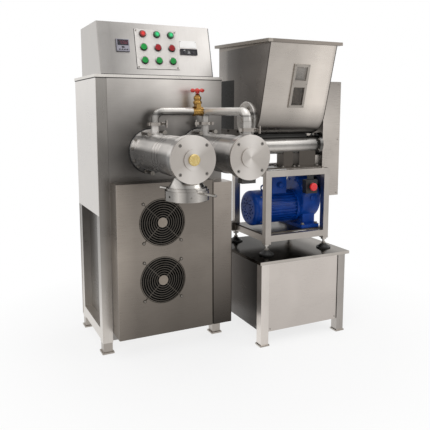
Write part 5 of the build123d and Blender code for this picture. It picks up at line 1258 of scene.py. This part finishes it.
# The line where a pipe of one radius meets a barrel of another, above the barrel
def stubLine(axis, y, barrelRadius):
    points = []
    for a in turns(weldSettings["stubSteps"]):
        across, along = onCircle(weldSettings["stub"], a)
        points.append(at(axis.x + across, y + along, axis.z + math.sqrt(barrelRadius ** 2 - across ** 2)))
    return points


def feedLine():
    points = []
    for a in turns(weldSettings["feedSteps"]):
        across, up = onCircle(weldSettings["feedTube"], a)
        z = feedAxis.z + up
        reach = math.sqrt(weldSettings["feedBarrel"] ** 2 - (z - rightAxis.z) ** 2)
        points.append(at(rightAxis.x + reach, feedAxis.y + across, z))
    return points


mesh = bmesh.new()
for stub in weldSettings["stubs"]:
    bead(mesh, stubLine(*stub), weldSettings["bead"], closed=True)
for centre, axis in weldSettings["seams"]:
    bead(mesh, ringPoints(at(*centre), axis, weldSettings["pipe"]), weldSettings["seam"], closed=True)
bead(mesh, feedLine(), weldSettings["bead"], closed=True)
addPiece("pipeWelds", mesh, "polishedTube")
print("stage: barrel details")

# Hopper: corner welds down the leaning front and round the trough
hopperSettings = {
    "lean": math.radians(14.7), "troughY": -70, "troughZ": 1090, "troughRadius": 122,
    "leftX": 684, "rightX": 1031, "topY": -271.5, "topZ": 1377, "seam": 1.5, "seamSteps": 8,
}
hopper = hopperSettings


def troughPoint(x, angle):
    back, down = onCircle(hopper["troughRadius"], angle)
    return x, hopper["troughY"] - back, hopper["troughZ"] - down


hopperFace = leaningFace(troughPoint(hopper["leftX"], hopper["lean"]), -hopper["lean"])


def onHopper(u, v, w=0.0):
    return hopperFace @ Matrix.Translation(mm(u, v, w))


mesh = bmesh.new()
for x in (hopper["leftX"], hopper["rightX"]):
    line = [at(x, hopper["topY"], hopper["topZ"])]
    for step in range(hopper["seamSteps"] + 1):
        bend = (math.pi / 2 - hopper["lean"]) * step / hopper["seamSteps"]
        line.append(at(*troughPoint(x, hopper["lean"] + bend)))
    bead(mesh, line, hopper["seam"])
addPiece("hopperWelds", mesh, "darkSeam")

# Angle bar along the lower edge of the hopper's left plate
angleSettings = {
    "corner": (680.8, 942), "leg": 26, "tall": 46, "wall": 3, "from": -14, "to": 220,
    "boltY": (20, 120, 200), "boltDown": 9, "bolt": (5, 4.5, 7), "bevel": 0.4,
}
mesh = bmesh.new()
leg, tall, wall = (angleSettings[key] for key in ("leg", "tall", "wall"))
outline = [(0, 0), (leg, 0), (leg, wall), (wall, wall), (wall, tall), (0, tall)]
cornerX, cornerZ = angleSettings["corner"]
place = standing(cornerX, 0, cornerZ) @ Matrix.Rotation(math.pi / 2, 4, "X")
prism(mesh, place, outline, -angleSettings["to"], -angleSettings["from"])
for y in angleSettings["boltY"]:
    boltPlace = at(cornerX, y, cornerZ + tall - angleSettings["boltDown"])
    hexBolt(mesh, facing(boltPlace, toLeft), *angleSettings["bolt"])
addPiece("hopperAngle", mesh, "darkSeam", bevel=angleSettings["bevel"])

# Window screws, and bolts of the bearing housing, the feed flange and the pedestals
hopperBoltSettings = {
    "screwU": (143, 213), "screwV": (40, 142.5, 224), "windowProud": 6, "screwRadius": 2.6,
    "bearing": (674, -70, 1035), "bearingCircle": 62, "bearingBolt": (7, 6.5, 9.5),
    "flange": (1062, feedAxis.y, feedAxis.z), "flangeCircle": 49, "flangeBolt": (5.5, 6, 7),
    "pedestalX": (861, 925, 950, 1056), "pedestalY": (-104, -36), "pedestalZ": 811,
    "pedestalBolt": (5.5, 6.5, 7.5), "boltsPerCircle": 6, "bevel": 0.3,
}
bolts = hopperBoltSettings
mesh = bmesh.new()
for u in bolts["screwU"]:
    for v in bolts["screwV"]:
        panHead(mesh, onHopper(u, v, bolts["windowProud"]), bolts["screwRadius"])
count = bolts["boltsPerCircle"]
boltCircle(mesh, bolts["bearing"], bolts["bearingCircle"], turns(count), *bolts["bearingBolt"])
boltCircle(mesh, bolts["flange"], bolts["flangeCircle"], turns(count, 0.5), *bolts["flangeBolt"])
boltGrid(mesh, bolts["pedestalX"], bolts["pedestalY"], bolts["pedestalZ"], *bolts["pedestalBolt"])
addPiece("hopperBolts", mesh, "boltSteel", bevel=bolts["bevel"])
print("stage: hopper details")

# Gear motor: lid, cable gland, eye bolt, gear case bolts and oil plug
motorSettings = {
    "y": 10, "z": 604, "lidX": 888, "lidZ": 760,
    "lid": {"size": (90, 98), "low": -7, "high": 5, "corner": 7},
    "lidPanel": {"size": (74, 82), "low": 5, "high": 8, "corner": 6},
    "gland": (888, -36, 716), "glandShape": [(0, 0), (15, 0), (15, 5), (12, 7), (12, 14), (8, 17), (0, 17)],
    "glandNut": (14, 7, 13),
    "eyeX": 822, "eyeFoot": 676, "eyeShape": [(0, -6), (11, -6), (11, 8), (6, 11), (0, 11)], "eyeSteps": 20,
    "eyeZ": 700, "eyeRadius": 13, "eyeWire": 4, "wireSteps": 24, "wireSides": 10,
    "gear": (990, 10, 640), "gearCircle": 95, "gearBolts": 12, "gearBolt": (5.5, 5),
    "plug": (1043, -95, 650), "plugShape": [(0, -4), (13, -4), (13, 3), (10, 5), (0, 5)],
    "bevel": 0.8,
}
motor = motorSettings
lidPlace = standing(motor["lidX"], motor["y"], motor["lidZ"])
glandPlace = facing(at(*motor["gland"]), toFront)
mesh = bmesh.new()
slab(mesh, lidPlace, **motor["lid"])
slab(mesh, lidPlace, **motor["lidPanel"])
lathe(mesh, glandPlace, motor["glandShape"])
nutRadius, nutLow, nutHigh = motor["glandNut"]
prism(mesh, glandPlace, sixSides(nutRadius), nutLow, nutHigh)
eyePlace = standing(motor["eyeX"], motor["y"], motor["eyeFoot"])
lathe(mesh, eyePlace, motor["eyeShape"], motor["eyeSteps"])
eyeCentre = at(motor["eyeX"], motor["y"], motor["eyeZ"])
eyeRing = ringPoints(eyeCentre, toBack, motor["eyeRadius"], motor["wireSteps"])
bead(mesh, eyeRing, motor["eyeWire"], closed=True, sides=motor["wireSides"])
boltCircle(mesh, motor["gear"], motor["gearCircle"], turns(motor["gearBolts"], 0.5), *motor["gearBolt"])
lathe(mesh, facing(at(*motor["plug"]), toFront), motor["plugShape"])
addPiece("motorTrim", mesh, "bluePaint", bevel=motor["bevel"])

# Steel screws and bolts of the motor, its frame and its levelling feet
motorBoltSettings = {
    "lidX": (855, 921), "lidOff": 40, "screwRadius": 3.6,
    "footX": (992, 1072), "footY": (-86, 106), "footZ": 518, "footBolt": (8, 9, 12),
    "hoodX": 775, "hoodRadius": 86, "hoodScrews": 4,
    "padX": (756, 1085), "padY": (-137, 170), "padZ": 426, "padNut": (11, 8),
    "lug": (705, 170, 488), "lugBolt": (8.5, 7), "bevel": 0.5,
}
bolts = motorBoltSettings
mesh = bmesh.new()
for x in bolts["lidX"]:
    for y in (motor["y"] - bolts["lidOff"], motor["y"] + bolts["lidOff"]):
        panHead(mesh, standing(x, y, motor["lidZ"] + motor["lid"]["high"]), bolts["screwRadius"])
boltGrid(mesh, bolts["footX"], bolts["footY"], bolts["footZ"], *bolts["footBolt"])
for a in turns(bolts["hoodScrews"], 0.5):
    across, up = onCircle(bolts["hoodRadius"], a)
    place = at(bolts["hoodX"], motor["y"] + across, motor["z"] + up)
    panHead(mesh, facing(place, (0, across, up)), bolts["screwRadius"])
boltGrid(mesh, bolts["padX"], bolts["padY"], bolts["padZ"], *bolts["padNut"])
hexBolt(mesh, facing(at(*bolts["lug"]), toLeft), *bolts["lugBolt"])
addPiece("motorBolts", mesh, "boltSteel", bevel=bolts["bevel"])

# Emergency stop: box screws and the collar round the button
stopSettings = {
    "x": (970, 1022), "y": -152, "z": (690, 742), "screwRadius": 2.4, "button": (996, -152, 716),
    "collar": [(15.2, 0), (20.5, 0), (20.5, 1.4), (19, 2.2), (15.2, 2.2), (15.2, 0)], "steps": 40,
}
mesh = bmesh.new()
corners = (stopSettings["x"], (stopSettings["y"],), stopSettings["z"])
screwGrid(mesh, toFront, stopSettings["screwRadius"], *corners)
lathe(mesh, facing(at(*stopSettings["button"]), toFront), stopSettings["collar"], stopSettings["steps"])
addPiece("stopTrim", mesh, "blackPlastic")
print("stage: motor details")

# Floor: pale and matt, fading to the white background away from the machine's shadow
floorSettings = {"half": 9.0, "pale": (0.9, 0.9, 0.9), "solid": 0.7, "gone": 1.4, "lift": 0.78}
half = floorSettings["half"]
floorCorners = [(-half, -half, 0), (half, -half, 0), (half, half, 0), (-half, half, 0)]
floorMesh = bpy.data.meshes.new("studioFloor")
floorMesh.from_pydata(floorCorners, [], [(0, 1, 2, 3)])
floor = bpy.data.objects.new("studioFloor", floorMesh)
scene.collection.objects.link(floor)
floor.visible_glossy = False
floorMaterial = bpy.data.materials.new("studioFloor")
floorMaterial.use_nodes = True
tree = floorMaterial.node_tree
tree.nodes.clear()
away = newNode(tree, "ShaderNodeVectorMath", operation="LENGTH")
feed(tree, away.inputs[0], objectPlace(tree))
fade = rangeNode(tree, away.outputs["Value"], *(floorSettings[key] for key in ("solid", "gone", "lift")))
seen = newNode(tree, "ShaderNodeLightPath").outputs["Is Camera Ray"]
matte = newNode(tree, "ShaderNodeBsdfDiffuse")
feed(tree, matte.inputs[0], floorSettings["pale"])
both = newNode(tree, "ShaderNodeMixShader")
feed(tree, both.inputs[0], mathNode(tree, "MULTIPLY", fade, seen))
feed(tree, both.inputs[1], matte.outputs[0])
feed(tree, both.inputs[2], newNode(tree, "ShaderNodeEmission").outputs[0])
feed(tree, newNode(tree, "ShaderNodeOutputMaterial").inputs[0], both.outputs[0])
floorMesh.materials.append(floorMaterial)

# World: what the metal mirrors is bright overhead and behind, and a little greyer towards the floor
worldSettings = {
    "sky": [
        (0.0, (0.84, 0.83, 0.82)), (0.3, (0.80, 0.79, 0.78)), (0.42, (0.80, 0.79, 0.78)),
        (0.5, (0.85, 0.84, 0.83)), (0.56, (0.95, 0.95, 0.945)), (0.7, (1.0, 1.0, 1.0)),
        (1.0, (0.95, 0.95, 0.95)),
    ],
    "back": (0.97, 0.97, 0.965), "backAim": (-0.6, 0.8, 0.0), "backFade": (0.2, 0.9),
    "fill": (0.6, 0.6, 0.6),
    "seen": (1.0, 1.0, 1.0),
}
world = bpy.data.worlds.new("studio")
scene.world = world
world.use_nodes = True
tree = world.node_tree
tree.nodes.clear()
direction = newNode(tree, "ShaderNodeTexCoord").outputs["Generated"]
parts = newNode(tree, "ShaderNodeSeparateXYZ")
feed(tree, parts.inputs[0], direction)
sky = rampNode(tree, rangeNode(tree, parts.outputs[2], -1.0, 1.0), worldSettings["sky"])
behind = newNode(tree, "ShaderNodeVectorMath", operation="DOT_PRODUCT")
feed(tree, behind.inputs[0], direction)
feed(tree, behind.inputs[1], worldSettings["backAim"])
toBackdrop = rangeNode(tree, behind.outputs["Value"], *worldSettings["backFade"])
mirrored = mixColor(tree, toBackdrop, sky, worldSettings["back"])
paths = newNode(tree, "ShaderNodeLightPath").outputs
lit = mixColor(tree, paths["Is Glossy Ray"], worldSettings["fill"], mirrored)
clear = mathNode(tree, "MAXIMUM", paths["Is Camera Ray"], paths["Is Transmission Ray"])
background = newNode(tree, "ShaderNodeBackground")
feed(tree, background.inputs[0], mixColor(tree, clear, lit, worldSettings["seen"]))
feed(tree, newNode(tree, "ShaderNodeOutputWorld").inputs[0], background.outputs[0])

# Lamps; steel doesn't mirror the key lamp, whose glare would clip to white
lampSettings = {
    "keyLamp": {
        "place": (-1900, -2600, 2900), "aim": (500, 0, 700), "size": 1.8, "power": 38, "mirrored": False,
    },
    "fillLamp": {
        "place": (3200, -2300, 2300), "aim": (700, 0, 700), "size": 2.2, "power": 26, "mirrored": True,
    },
    "topLamp": {
        "place": (500, -300, 3600), "aim": (500, 0, 600), "size": 2.4, "power": 26, "mirrored": True,
    },
}
for name, settings in lampSettings.items():
    lamp = bpy.data.objects.new(name, bpy.data.lights.new(name, "AREA"))
    scene.collection.objects.link(lamp)
    lamp.location = at(*settings["place"])
    lamp.rotation_euler = (at(*settings["aim"]) - lamp.location).to_track_quat("-Z", "Y").to_euler()
    lamp.data.size = settings["size"]
    lamp.data.energy = settings["power"]
    lamp.visible_glossy = settings["mirrored"]
print("stage: floor and light")
